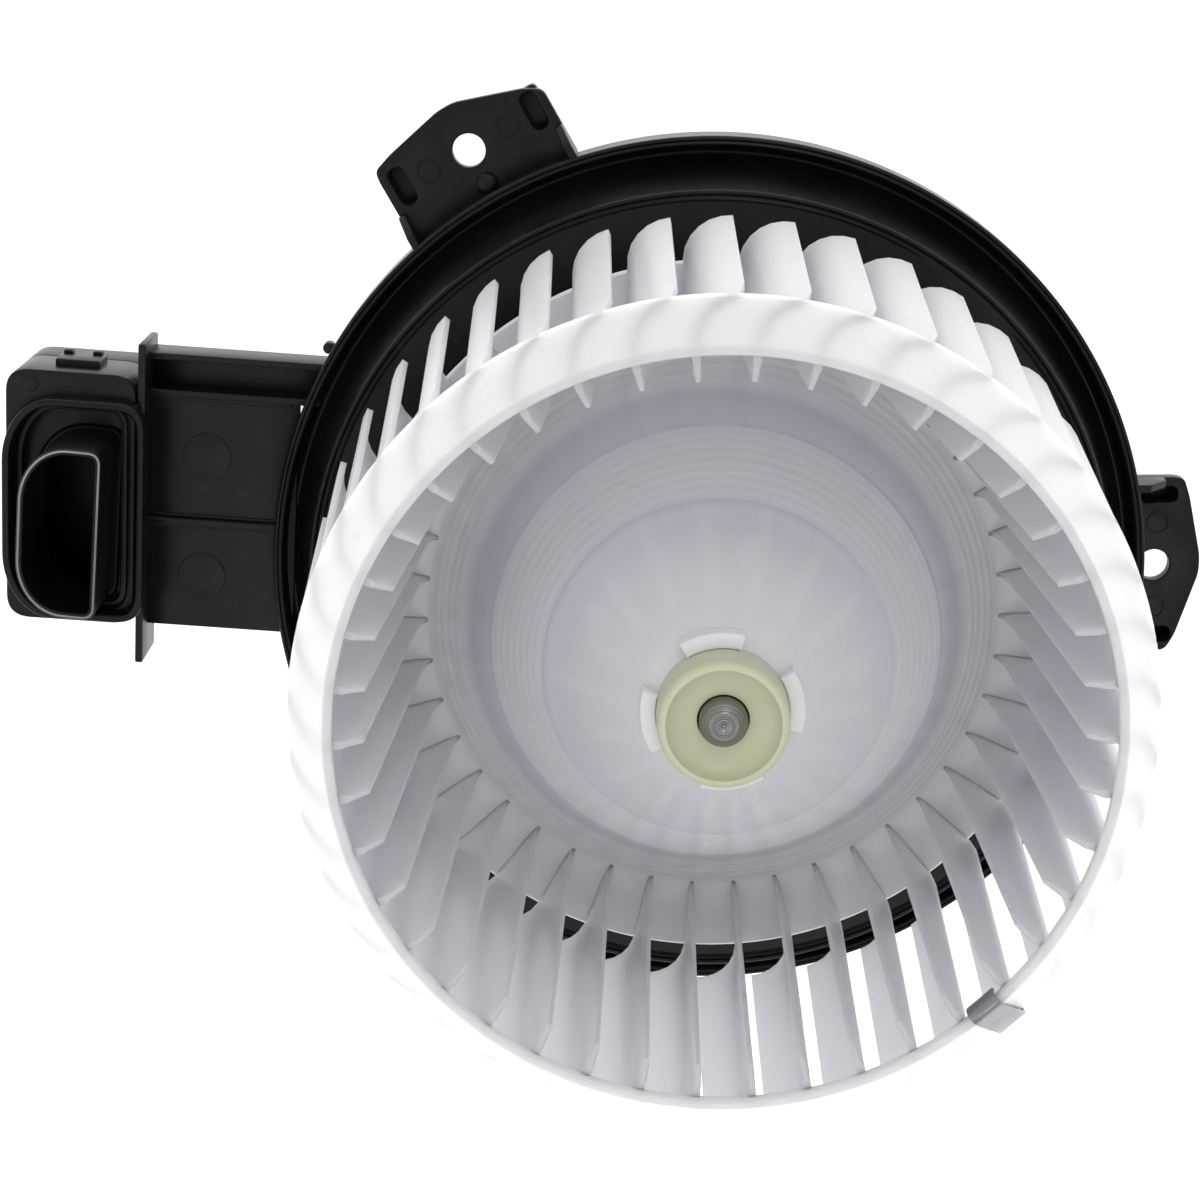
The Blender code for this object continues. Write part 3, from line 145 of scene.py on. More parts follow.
def slab(outer, low, high, edge, holes=(), steps=4):
    # a quarter circle edge profile carried round each outline, with flat faces filled in between the outlines
    a = np.linspace(0, np.pi / 2, steps)
    inset = np.concatenate([edge * (1 - np.sin(a)), edge * (1 - np.cos(a))])
    height = np.concatenate([low + edge * (1 - np.cos(a)), high - edge * (1 - np.sin(a))])
    parts, lowCap, highCap = [], [], []
    start = 0
    for number, line in enumerate([outer, *holes]):
        ahead, behind = np.roll(line, -1, 0), np.roll(line, 1, 0)
        area = np.sum(line[:, 0] * ahead[:, 1] - line[:, 1] * ahead[:, 0])
        if (area > 0) != (number == 0):
            line = line[::-1]
            ahead, behind = np.roll(line, -1, 0), np.roll(line, 1, 0)
        along = ahead - behind
        side = np.stack([along[:, 1], -along[:, 0]], -1) / np.linalg.norm(along, axis=1)[:, None]
        flat = line[None] - side[None] * inset[:, None, None]
        tall = np.broadcast_to(height[:, None, None], (*flat.shape[:2], 1))
        parts.append(grid(np.concatenate([flat, tall], -1)))
        lowCap.append((flat[0], start))
        start += flat.shape[0] * flat.shape[1]
        highCap.append((flat[-1], start - flat.shape[1]))
    points, faces = merged(*parts)
    for cap, up in ((lowCap, -1), (highCap, 1)):
        index = np.concatenate([first + np.arange(len(line)) for line, first in cap])
        flat = np.concatenate([line for line, first in cap])
        found = tessellate_polygon([[Vector((x, y, 0)) for x, y in (line * mm).tolist()]
                                    for line, first in cap])
        t = np.array(found)
        p, q, r = flat[t[:, 0]], flat[t[:, 1]], flat[t[:, 2]]
        turn = (q[:, 0] - p[:, 0]) * (r[:, 1] - p[:, 1]) - (q[:, 1] - p[:, 1]) * (r[:, 0] - p[:, 0])
        t = np.where((turn * up < 0)[:, None], t[:, ::-1], t)
        faces += index[t].tolist()
    return points, faces


def rectangle(x0, x1, y0, y1, radius, steps=6):
    return filleted([(x0, y0), (x1, y0), (x1, y1), (x0, y1)], radius, steps)


def arc(radius, a):
    return radius * np.stack([np.cos(a), np.sin(a)], -1)


def circle(x, y, radius, steps=48):
    return np.array([x, y]) + arc(radius, np.linspace(0, 2 * np.pi, steps, endpoint=False))


def stood(part):
    # a slab's outline carried from (x, y) into (x, z)
    points, faces = part
    return points[:, [0, 2, 1]], [face[::-1] for face in faces]


def swung(part, degrees):
    # a part turned about the shaft
    p, faces = part
    c, s = math.cos(math.radians(degrees)), math.sin(math.radians(degrees))
    return np.stack([p[:, 0] * c - p[:, 1] * s, p[:, 0] * s + p[:, 1] * c, p[:, 2]], -1), faces


def bar(x0, x1, y0, y1, low, high, edge=0.3):
    return slab(rectangle(x0, x1, y0, y1, edge * 1.2, 4), low, high, edge, steps=3)


sharpAngle = math.radians(32)


def piece(name, part, finish, body, nodes):
    points, faces = part
    mesh = bpy.data.meshes.new(name)
    mesh.from_pydata((points * mm).tolist(), [], faces)
    mesh.validate()
    mesh.materials.append(finish)
    mesh.shade_smooth()
    mesh.set_sharp_from_angle(angle=sharpAngle)
    made = bpy.data.objects.new(name, mesh)
    bpy.context.scene.collection.objects.link(made)
    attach(made, body)
    if nodes:
        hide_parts(*nodes)


def housingPiece(name, part, finish, slotName, *nodes):
    piece(name, part, finish, "housing", nodes)


def rotorPiece(name, part, finish, slotName, *nodes):
    piece(name, part, finish, "rotor", nodes)


# a material under construction: node() adds one and joins its inputs, given by name or number
class Nodes:
    def __init__(self, name):
        self.made = bpy.data.materials.new(name)
        self.made.use_nodes = True
        self.tree = self.made.node_tree
        self.shader = self.tree.nodes["Principled BSDF"]
        self.place = self.node("ShaderNodeTexCoord").outputs["Object"]

    def node(self, kind, settings=None, **inputs):
        made = self.tree.nodes.new(kind)
        for key, value in (settings or {}).items():
            setattr(made, key, value)
        for key, value in inputs.items():
            self.join(made.inputs[int(key[1:]) if key[0] == "_" else key.replace("_", " ")], value)
        return made

    def join(self, socket, value):
        if isinstance(value, bpy.types.NodeSocket):
            self.tree.links.new(value, socket)
        else:
            socket.default_value = value

    def noise(self, scale, detail=3.0, roughness=0.5, vector=None):
        made = self.node("ShaderNodeTexNoise", Vector=vector or self.place, Scale=scale, Detail=detail,
                         Roughness=roughness)
        return made.outputs["Fac"]

    def ramp(self, value, *stops):
        made = self.node("ShaderNodeValToRGB", Fac=value)
        line = made.color_ramp.elements
        while len(line) < len(stops):
            line.new(0.5)
        for stop, (at, color) in zip(line, stops):
            stop.position = at
            stop.color = (*color, 1) if len(color) == 3 else color
        return made.outputs["Color"]

    def span(self, value, low, high, fromLow=0.0, fromHigh=1.0):
        made = self.node("ShaderNodeMapRange", _0=value, _1=fromLow, _2=fromHigh, _3=low, _4=high)
        return made.outputs[0]

    def math(self, operation, a, b=0.0):
        return self.node("ShaderNodeMath", {"operation": operation}, _0=a, _1=b).outputs[0]

    def times(self, a, b):
        return self.math("MULTIPLY", a, b)

    def minus(self, a, b):
        return self.math("SUBTRACT", a, b)

    def long(self, x, y):
        return self.math("SQRT", self.math("ADD", self.times(x, x), self.times(y, y)))

    def mixed(self, share, a, b):
        made = self.node("ShaderNodeMix", {"data_type": "RGBA", "blend_type": "MIX"})
        self.join(made.inputs["Factor"], share)
        self.join(made.inputs[6], a)
        self.join(made.inputs[7], b)
        return made.outputs[2]

    def bump(self, height, strength, distance, under=None):
        made = self.node("ShaderNodeBump", Height=height, Strength=strength, Distance=distance)
        if under is not None:
            self.join(made.inputs["Normal"], under)
        return made.outputs["Normal"]

    def finish(self, color=None, roughness=None, normal=None, **constants):
        for socket, value in (("Base Color", color), ("Roughness", roughness), ("Normal", normal)):
            if value is not None:
                self.join(self.shader.inputs[socket], value)
        for key, value in constants.items():
            self.shader.inputs[key.replace("_", " ")].default_value = value
        return self.made


blackFinish = {"dark": (0.0028, 0.003, 0.0034), "light": (0.0070, 0.0073, 0.0082), "grain": 2600.0}


def blackPlastic():
    m = Nodes("blackPlastic")
    broad = m.noise(38.0, 4.0, 0.6)
    grain = m.noise(blackFinish["grain"], 2.0)
    dust = m.noise(260.0, 5.0, 0.65)
    color = m.ramp(broad, (0.3, blackFinish["dark"]), (0.72, blackFinish["light"]))
    color = m.mixed(m.span(dust, 0.0, 0.5, 0.6, 0.8), color, (0.030, 0.029, 0.028, 1))
    rough = m.math("ADD", m.span(broad, 0.22, 0.36), m.span(grain, 0.0, 0.07))
    normal = m.bump(grain, 0.16, 0.00006, m.bump(broad, 0.10, 0.0006))
    return m.finish(color, rough, normal, Specular_IOR_Level=0.22)


def milkyPlastic(name, color, under, weight=0.25, clear=0.0, deep=0.004):
    m = Nodes(name)
    flow = m.noise(24.0, 3.0)
    fine = m.noise(1500.0, 2.0)
    dust = m.noise(170.0, 5.0, 0.7)
    base = m.mixed(m.span(flow, 0.0, 1.0, 0.35, 0.7), (*color, 1), (*under, 1))
    base = m.mixed(m.span(dust, 0.0, 0.30, 0.60, 0.82), base, (0.50, 0.48, 0.46, 1))
    rough = m.math("ADD", m.span(flow, 0.24, 0.36), m.span(dust, 0.0, 0.12))
    normal = m.bump(fine, 0.06, 0.0001, m.bump(flow, 0.12, 0.0008))
    return m.finish(base, rough, normal, Subsurface_Weight=weight, Subsurface_Scale=deep,
                    Subsurface_Radius=(1.0, 0.95, 1.0), Specular_IOR_Level=0.5,
                    Transmission_Weight=clear, IOR=1.45)


def metal(name, dark, light, rough, scratch=900.0, stretch=(1, 1, 0.05), strength=0.15):
    m = Nodes(name)
    drawn = m.node("ShaderNodeMapping", Vector=m.place, Scale=stretch).outputs["Vector"]
    lines = m.noise(scratch, 4.0, 0.6, drawn)
    broad = m.noise(90.0, 4.0, 0.6)
    color = m.ramp(broad, (0.3, dark), (0.7, light))
    return m.finish(color, m.math("ADD", m.span(lines, rough - 0.06, rough + 0.1), m.span(broad, 0.0, 0.08)),
                    m.bump(lines, strength, 0.00006), Metallic=1.0)


def turnedSteel():
    # lathe lines: bands of noise along the distance from the shaft's axis, finest on the shaft's end
    m = Nodes("turnedSteel")
    apart = m.node("ShaderNodeSeparateXYZ", Vector=m.place)
    x, y, z = apart.outputs[0], apart.outputs[1], apart.outputs[2]
    radius = m.long(x, y)
    across = m.node("ShaderNodeCombineXYZ", X=radius, Y=z).outputs[0]
    lines = m.noise(5200.0, 2.0, 0.6, across)
    broad = m.noise(420.0, 3.0)
    color = m.ramp(lines, (0.34, (0.07, 0.068, 0.066)), (0.66, (0.46, 0.45, 0.44)))
    color = m.mixed(m.span(broad, 0.0, 0.3, 0.4, 0.75), color, (0.16, 0.15, 0.145, 1))
    return m.finish(color, m.span(broad, 0.34, 0.48), m.bump(lines, 0.35, 0.00005), Metallic=1.0)


def sidedMaterial(name, dark, light, rough, scale=400.0, metallic=0.0):
    m = Nodes(name)
    broad = m.noise(scale * 0.2, 4.0, 0.6)
    fine = m.noise(scale * 6, 2.0)
    return m.finish(m.ramp(broad, (0.3, dark), (0.7, light)), m.span(fine, rough - 0.08, rough + 0.08),
                    m.bump(fine, 0.2, 0.0001), Metallic=metallic)


def windingWire():
    # enamelled wire: stripes round the shaft, a strand 0.7 mm across
    m = Nodes("windingWire")
    wave = m.node("ShaderNodeTexWave", {"bands_direction": "Z", "wave_profile": "SIN"}, Vector=m.place,
                  Scale=230.0, Distortion=1.6, Detail=2.0).outputs["Fac"]
    broad = m.noise(120.0)
    color = m.ramp(broad, (0.3, (0.42, 0.14, 0.05)), (0.7, (0.66, 0.27, 0.11)))
    # painted shade: the troughs between the strands are mixed towards near black, as the shade that falls
    # between the wires
    color = m.mixed(m.span(wave, 0.5, 0.0, 0.0, 0.5), color, (0.10, 0.03, 0.015, 1))
    return m.finish(color, m.span(broad, 0.26, 0.38), m.bump(wave, 0.7, 0.0003), Metallic=0.6,
                    Coat_Weight=0.5, Coat_Roughness=0.15)


def laminations():
    # stacked sheets 0.65 mm thick
    m = Nodes("laminations")
    wave = m.node("ShaderNodeTexWave", {"bands_direction": "Z", "wave_profile": "SAW"}, Vector=m.place,
                  Scale=245.0).outputs["Fac"]
    broad = m.noise(150.0)
    color = m.ramp(broad, (0.3, (0.20, 0.205, 0.22)), (0.7, (0.34, 0.345, 0.36)))
    return m.finish(m.mixed(m.span(wave, 0.6, 0.0, 0.0, 0.2), color, (0.05, 0.05, 0.05, 1)),
                    m.span(broad, 0.4, 0.55), m.bump(wave, 0.6, 0.0002), Metallic=0.9)


discFinish = {"ribCount": 17, "ribStart": 0.0155, "ribEnd": 0.026, "knobCount": 5, "knobRadius": 0.0235}


def discPlastic():
    # milky plastic over the dark motor: zones by radius, and the ribs on its back as paler spokes
    m = Nodes("discPlastic")
    f = discFinish
    apart = m.node("ShaderNodeSeparateXYZ", Vector=m.place)
    x, y = apart.outputs[0], apart.outputs[1]
    angle = m.math("ARCTAN2", y, x)
    radius = m.long(x, y)

    def fromSpoke(count, start):
        # signed share of a turn from the nearest of count spokes
        turn = m.math("ADD", m.times(angle, count / (2 * math.pi)), start)
        return m.minus(m.math("FRACT", turn), 0.5)

    def lines(low, count, wide, first, last):
        # sine lines between two radii, for the painted highlights on grooves and ridges
        wave = m.math("SINE", m.times(m.minus(radius, low), 2 * math.pi * count / wide))
        within = m.times(m.math("GREATER_THAN", radius, first), m.math("LESS_THAN", radius, last))
        return m.times(m.span(wave, 0.0, 0.3, 0.2, 1.0), within)

    saw = m.math("ABSOLUTE", fromSpoke(f["ribCount"], 40.0))
    away = m.times(m.times(saw, radius), 2 * math.pi / f["ribCount"])
    end = m.math("ADD", m.span(m.noise(55.0, 1.0), -0.004, 0.004, 0.35, 0.65), f["ribEnd"])
    fade = m.times(m.span(m.minus(radius, end), 1.0, 0.0, 0.0, 0.0025),
                   m.span(radius, 0.0, 1.0, f["ribStart"], f["ribStart"] + 0.003))
    rib = m.times(m.span(away, 1.0, 0.0, 0.0004, 0.0019), fade)
    # round ejector marks on some of the ribs
    knobAway = m.times(fromSpoke(f["knobCount"], 40.42), 2 * math.pi / f["knobCount"])
    fromKnob = m.long(m.times(knobAway, radius), m.minus(radius, f["knobRadius"]))
    rib = m.math("MAXIMUM", rib, m.span(fromKnob, 0.9, 0.0, 0.0018, 0.0030))
    flow = m.noise(30.0, 3.0)
    dust = m.noise(170.0, 5.0, 0.7)
    share = m.span(radius, 0.0, 1.0, 0.0, 0.07)
    zones = m.ramp(share, (0.15, (0.76, 0.75, 0.76)), (0.25, (0.69, 0.69, 0.72)), (0.430, (0.66, 0.67, 0.71)),
                   (0.436, (0.74, 0.73, 0.76)), (0.566, (0.75, 0.745, 0.765)), (0.572, (0.64, 0.65, 0.69)),
                   (0.636, (0.66, 0.67, 0.70)), (0.642, (0.77, 0.76, 0.77)), (0.745, (0.82, 0.81, 0.82)),
                   (0.80, (0.90, 0.89, 0.90)))
    # painted highlights: where the grooves and ridges catch the light, thin paler lines are drawn in the
    # colour
    base = m.mixed(lines(0.0454, 5, 0.0066, 0.0450, 0.0523), zones, (0.80, 0.79, 0.81, 1))
    base = m.mixed(lines(0.0310, 7, 0.0084, 0.0305, 0.0398), base, (0.80, 0.79, 0.82, 1))
    base = m.mixed(m.times(rib, 0.45), base, (0.76, 0.75, 0.77, 1))
    base = m.mixed(m.span(flow, 0.0, 0.16, 0.35, 0.7), base, (0.72, 0.70, 0.75, 1))
    base = m.mixed(m.span(dust, 0.0, 0.2, 0.60, 0.82), base, (0.46, 0.43, 0.42, 1))
    return m.finish(base, m.span(flow, 0.24, 0.38), m.bump(m.noise(1500.0, 2.0), 0.05, 0.0001),
                    Subsurface_Weight=0.1, Subsurface_Scale=0.003, Specular_IOR_Level=0.5)


black = blackPlastic()
wheelWhite = milkyPlastic("wheelWhite", (0.92, 0.905, 0.97), (0.88, 0.865, 0.93), 0.9, 0.2, 0.009)
tabWhite = milkyPlastic("tabWhite", (0.86, 0.85, 0.87), (0.80, 0.79, 0.81), 0.1, 0.0, 0.002)
wheelDisc = discPlastic()
hubCream = milkyPlastic("hubCream", (0.62, 0.625, 0.45), (0.55, 0.56, 0.38), 0.15)
groundSteel = turnedSteel()
zincSteel = metal("zincSteel", (0.42, 0.43, 0.45), (0.62, 0.63, 0.65), 0.36, 500.0, (1, 1, 0.3))
springSteel = metal("springSteel", (0.20, 0.20, 0.215), (0.36, 0.36, 0.38), 0.30)
brassSheet = metal("brassSheet", (0.60, 0.42, 0.16), (0.78, 0.60, 0.28), 0.3)
barCopper = metal("barCopper", (0.55, 0.24, 0.11), (0.76, 0.38, 0.20), 0.3, 700.0, (1, 1, 6.0))
bronzeBush = sidedMaterial("bronzeBush", (0.34, 0.21, 0.09), (0.52, 0.35, 0.17), 0.5, 900.0, 0.9)
ferriteBlack = sidedMaterial("ferriteBlack", (0.045, 0.045, 0.05), (0.085, 0.085, 0.09), 0.65)
brushCarbon = sidedMaterial("brushCarbon", (0.03, 0.03, 0.032), (0.07, 0.07, 0.072), 0.55)
boardCard = sidedMaterial("boardCard", (0.26, 0.14, 0.06), (0.42, 0.25, 0.12), 0.6, 700.0)
ringRubber = sidedMaterial("ringRubber", (0.014, 0.014, 0.014), (0.030, 0.030, 0.030), 0.8)
print("finishes made")

# mounting flange, its ears and the arm's tray; radii, heights and lengths in mm, angles in degrees
flange = {"rim": 84.2, "bead": 0.55, "innerBead": 0.28, "gapFrom": 42.7, "gapTo": 59.5,
          "ticks": (148.7, 163.4, 167.8, 173.6, 178.4), "sleeveLow": 23.93, "bossCircle": 43.0,
          "bosses": 3, "ribs": 9}
screwBore = 2.3


def window(a, middle, half, soft):
    # 1 within half of the middle angle, falling to 0 over soft; all in degrees
    away = np.abs((np.degrees(a) - middle + 180) % 360 - 180)
    return np.clip((half + soft - away) / soft, 0, 1)


def flangeLift(r, z, a):
    # the inner bead is a bell in r, left out over one arc; ticks are small bells in both r and a
    # on the rim's lip
    f = flange
    top = (z > flangeFace - 1.2) & (r > 60)
    middle, half = (f["gapFrom"] + f["gapTo"]) / 2, (f["gapTo"] - f["gapFrom"]) / 2
    bell, lip = np.exp(-((r - 74.35) / 0.26) ** 2), 0.35 * np.exp(-(r - 75.4) ** 2)
    rise = bell * f["innerBead"] * (1 - window(a, middle, half, 1.0))
    for tick in f["ticks"]:
        rise = rise + lip * window(a, tick, 0.35, 0.4)
    return top * rise


def flangeDish():
    f, z, low = flangeFace, rimEdge, flange["sleeveLow"]
    bead, trough = f + flange["bead"], z - 5.5
    corners = np.array([
        (34.6, f + 8), (37.0, f + 8), (37.0, f), (73.6, f), (74.35, f), (75.0, f),
        (75.25, bead), (76.0, bead), (76.15, f - 1.6), (76.8, f - 6.0),
        (77.9, f - 11.6), (79.4, trough + 1.4), (81.0, trough), (82.1, trough + 1.2),
        (82.3, z - 0.7), (82.9, z - 0.1), (83.3, z - 0.45), (83.7, z), (84.3, z - 0.3),
        (84.3, trough - 3.0), (83.0, trough - 3.2), (82.8, trough - 1.6), (80.6, trough - 1.8),
        (78.0, trough - 0.6), (75.6, f - 12.6), (74.4, f - 6.0), (73.8, f - 2.4),
        (39.6, f - 2.4), (37.0, f - 4.6), (37.0, low), (34.6, low)])
    reach = np.full(len(corners), 0.45)
    reach[8:14] = 1.6
    return turned(densed(filleted(corners, reach, 5), 1.2), 288, flangeLift)


def fixingEar(angle, reach):
    # local frame: x out from the shaft through the screw hole, y along the rim
    hole = flange["rim"] + reach
    half, top, low = 17.6, earFace, earFace - 3.0
    root = math.sqrt(83.6 ** 2 - half ** 2)
    outer = filleted([
        (root, -half), (hole + 3.0, -half), (hole + 4.8, -0.83 * half), (hole + 9.0, -0.10 * half),
        (hole + 9.0, 0.10 * half), (hole + 6.4, 0.78 * half), (hole + 5.2, half - 0.4),
        (hole + 3.4, half), (root, half)], 1.3, 6)
    outline = np.concatenate([outer, arc(83.5, np.linspace(0.21, -0.21, 16))])
    slots = [rectangle(hole - 3.3, hole + 3.9, y - 1.6, y + 1.6, 1.6, 8) for y in (-14.2, 14.2)]
    parts = [slab(outline, low, top, 0.35, [circle(hole, 0, 3.1), *slots])]
    for slot in slots:                # the slots are blind
        x, y = slot[:, 0].mean(), slot[:, 1].mean()
        pocket = rectangle(x - 4.4, x + 4.4, y - 2.4, y + 2.4, 1.2)
        parts.append(slab(pocket, low - 2.4, low + 0.6, 0.3, [slot]))
        parts.append(slab(pocket, low - 3.0, low - 2.2, 0.2))
    # two ejector marks beside the screw hole, and a bump where the plate meets the rim
    parts.append(slab(circle(hole - 6.9, 0, 2.0, 32), top - 1.0, top + 2.2, 1.2, steps=6))
    x0, x1 = root - 0.6, math.sqrt(flange["rim"] ** 2 - half ** 2) + 6.2
    z0, z1 = top - 1.0, rimEdge - 0.6
    web = filleted([(x0, z0), (x1, z0), (x1, z0 + 3.4), (x0 + 3.6, z1), (x0, z1)], 0.4, 4)
    for side in (-1, 1):
        mark = (hole + 0.4, side * 8.6)
        parts.append(slab(circle(*mark, 2.3), top - 0.4, top + 0.24, 0.12, [circle(*mark, 1.85)]))
        # the web falls away from the rim to the plate
        parts.append(stood(slab(web, *sorted((side * half, side * (half - 1.5))), 0.25)))
    return swung(merged(*parts), angle)


arm = {"turn": 175.8, "end": 110.4, "screws": (91.2, 102.2), "screwAcross": -21.0}


def armBar(x0, x1, south, north, low, high, edge=0.3):
    # along the arm, then south to north
    return bar(x0, x1, -north, -south, low, high, edge)


def sideArm():
    low, floor = earFace - 4.0, armFloor
    last, end = arm["end"], arm["end"] - 0.5
    marks = [slab(circle(*place, 4.6, 64), floor - 0.5, floor + 0.22, 0.12)
             for place in ((98.0, -16.2), (98.6, 7.6))]
    parts = [
        armBar(80.6, end, -18.0, 28.6, floor - 2.5, floor, 0.2),
        armBar(76.6, end, 27.7, 29.1, low, floor + 1.3, 0.35),
        armBar(76.2, end, 28.4, 35.6, low + 0.2, low + 2.0, 0.2),
        armBar(74.8, end, 34.7, 36.1, low, floor + 1.6, 0.4),
        armBar(80.6, end, -18.0, -16.6, low, floor - 0.1, 0.35),
        armBar(83.0, end + 0.2, 2.5, 4.1, floor - 1.0, floor + 1.6, 0.45),
        armBar(last - 1.5, last, -24.4, 38.3, low - 0.2, plateTop + 0.8, 0.35),
        # small stiffening steps where the floor meets the rib and the two walls
        armBar(84.0, end, 4.0, 4.7, floor - 1.0, floor + 0.35, 0.2),
        armBar(84.0, end, 1.9, 2.6, floor - 1.0, floor + 0.35, 0.2),
        armBar(82.0, end, 26.9, 27.8, floor - 1.0, floor + 0.45, 0.25),
    ]
    return swung(merged(*parts, *marks), arm["turn"])


def flangeBosses():
    parts = []
    for k in range(flange["bosses"]):
        place = (flange["bossCircle"], 0)
        boss = slab(circle(*place, 4.4), flange["sleeveLow"], flangeFace - 2.0, 0.3,
                    [circle(*place, screwBore)])
        parts.append(swung(boss, 30.0 + 360.0 / flange["bosses"] * k))
    for x in arm["screws"]:
        place = (x, arm["screwAcross"])
        boss = slab(circle(*place, 3.8), 10.53, armFloor - 1.0, 0.3, [circle(*place, screwBore)])
        parts.append(swung(boss, arm["turn"]))
    for k in range(flange["ribs"]):   # ribs under the face, left out at the arm
        angle = 10.0 + 360.0 / flange["ribs"] * k
        if abs(angle - 170) > 15:
            parts.append(swung(bar(37.0, 74.2, -0.9, 0.9, flangeFace - 8.0, flangeFace - 2.0), angle))
    # a small nub outside the rim
    parts.append(swung(slab(circle(84.9, 0, 1.1, 24), rimEdge - 6.0, rimEdge - 3.0, 0.35), 148.4))
    return merged(*parts)


earPlaces = ((119.2, 8.5), (0.5, 3.2), (240.0, 5.8))        # angle, and reach of the hole past the rim
ears = [fixingEar(*place) for place in earPlaces]
flangeBody = merged(flangeDish(), *ears, sideArm(), flangeBosses())
housingPiece("flangeBody", flangeBody, black, "black_plastic", "mounting_flange")
print("flange made")

# cooling air scoop at the arm's end
scoop = {"x0": 110.7, "x1": 135.4, "south": -17.0, "north": 31.9, "middle": 122.4, "across": 4.4,
         "snoutLong": 32.5, "snoutWide": 15.2, "snoutTurn": -2.0, "snoutWall": 1.15, "collar": 4.0,
         "wall": 1.6}


def dOutline(x0, x1, y0, y1, bowX, bowY, corner):
    # a D: two small corners on the side towards the flange, two quarter ellipses on the far side
    a = np.linspace(0, np.pi / 2, 16)
    near = filleted([(x0, y1), (x0, y0), (x1, y0), (x1, y1)], [corner, corner, 0.0001, 0.0001], 10)[:20]
    low = np.stack([x1 - bowX + bowX * np.sin(a), y0 + bowY - bowY * np.cos(a)], -1)
    high = np.stack([x1 - bowX + bowX * np.cos(a), y1 - bowY + bowY * np.sin(a)], -1)
    return np.concatenate([near, low, high])


def snout(grow=0.0):
    # the tube's outline, grown outwards
    s = scoop
    cx, cy = s["middle"], -s["across"]
    w, l = s["snoutWide"] / 2 + grow, s["snoutLong"] / 2 + grow
    line = dOutline(cx - w, cx + w, cy - l, cy + l, 9.0 + grow, 10.6 + grow, 2.6 + grow)
    c, t = math.cos(math.radians(s["snoutTurn"])), math.sin(math.radians(s["snoutTurn"]))
    x, y = line[:, 0] - cx, line[:, 1] - cy
    return np.stack([cx + x * c - y * t, cy + x * t + y * c], -1)


def grown(line, by):
    # a counterclockwise outline moved out along its own normals
    along = np.roll(line, -1, 0) - np.roll(line, 1, 0)
    return line + by * np.stack([along[:, 1], -along[:, 0]], -1) / np.linalg.norm(along, axis=1)[:, None]


def collar(shrink):
    x0, x1 = 108.5 + shrink, 135.3 - shrink
    y0, y1 = -27.3 + shrink, 15.6 - shrink
    return dOutline(x0, x1, y0, y1, 9.5 - shrink, 12.5 - shrink, 5.4 - shrink)


def boxOutlines():
    # outer and inner outline of the scoop's box
    x0, x1, y0, y1, wall = scoop["x0"], scoop["x1"], -scoop["north"], -scoop["south"], scoop["wall"]
    return (rectangle(x0, x1, y0, y1, 4.5, 10),
            rectangle(x0 + wall, x1 - wall, y0 + wall, y1 - wall, 3.0, 10))


def ductScoop():
    s, low, top = scoop, scoopBottom, plateTop
    x0, x1, y0 = s["x0"], s["x1"], -s["north"]
    floor = top - 3.6
    box, inner = boxOutlines()
    mouth = snout(-s["snoutWall"])
    opening = dOutline(x0 + 1.7, x1 - 1.9, -25.8, 14.0, 8.0, 11.0, 4.0)
    parts = [
        slab(box, low, top - 0.6, 0.25, [inner]),                                        # side walls
        slab(box, top - 1.6, top, 0.5, [opening]),                                       # plate
        slab(collar(0.0), top - 0.4, top + s["collar"], 0.4, [collar(1.5)]),
        slab(opening, floor - 0.4, top - 0.3, 0.2, [grown(opening, -1.2)]),
        slab(opening, floor - 1.6, floor, 0.2, [mouth]),                                 # floor of the moat
        slab(snout(0.0), floor - 1.0, snoutTop, 0.3, [mouth], 5),                        # tube
        slab(snout(0.9), floor - 0.4, floor + 1.0, 0.85, [snout(-0.4)], 6),              # fillet at its root
        # latch on the north side, with its two nubs
        bar(x0 + 8.0, x0 + 16.4, y0 - 1.4, y0 + 0.6, low + 1.0, top - 5.0, 0.35),
        bar(x0 + 8.6, x0 + 10.4, y0 - 2.1, y0 - 1.2, low + 1.2, low + 3.6, 0.3),
        bar(x0 + 14.2, x0 + 16.0, y0 - 2.1, y0 - 1.2, low + 1.2, low + 3.6, 0.3),
        slab(circle(x1 - 4.7, -29.2, 1.5), top - 0.4, top + 0.2, 0.1),
    ]
    return swung(merged(*parts), arm["turn"])


def scoopEdge():
    # a pale line along the snout's mouth: a thin band that follows its rim
    band = slab(snout(-0.22), snoutTop - 0.3, snoutTop + 0.03, 0.06, [snout(-0.62)], 3)
    return swung(band, arm["turn"])


def ductShell():
    # open pan under the scoop, and the closed channel from it to the rear cover
    wall, low, top = scoop["wall"], 1.03, scoopBottom - 0.3
    south, north = 4.5 - 12.0, 4.5 + 12.0
    start, end = 38.6, scoop["x0"] + 1.2
    box, inner = boxOutlines()
    parts = [
        slab(box, low, low + wall, 0.7),
        slab(box, low + 0.4, top, 0.25, [inner]),
        bar(start, end, -north, -south, low, low + wall, 0.4),
        bar(start, end, -north, -south, top - wall, top, 0.4),
        bar(start, end, -north, -north + wall, low + 0.1, top - 0.1, 0.35),
        bar(start, end, -south - wall, -south, low + 0.1, top - 0.1, 0.35),
    ]
    for x in (50.0, 65.0, 80.0, 95.0):          # stiffening ribs under the channel
        parts.append(bar(x, x + 1.2, -north + 1.5, -south - 1.5, low - 0.35, low + 0.5, 0.2))
    y = arm["screwAcross"]
    for x in arm["screws"]:
        parts.append(slab(circle(x, y, 4.4), top - 2.4, top, 0.3, [circle(x, y, screwBore)]))
        parts.append(slab(rectangle(x - 3.4, x + 3.4, y + 2.6, -north + 0.8, 0.3), top - 2.4, top, 0.25))
    return swung(merged(*parts), arm["turn"])


housingPiece("scoopBody", ductScoop(), black, "black_plastic", "duct_scoop")
housingPiece("ductShell", ductShell(), black, "black_plastic", "duct_lower_shell")
print("scoop and duct made")

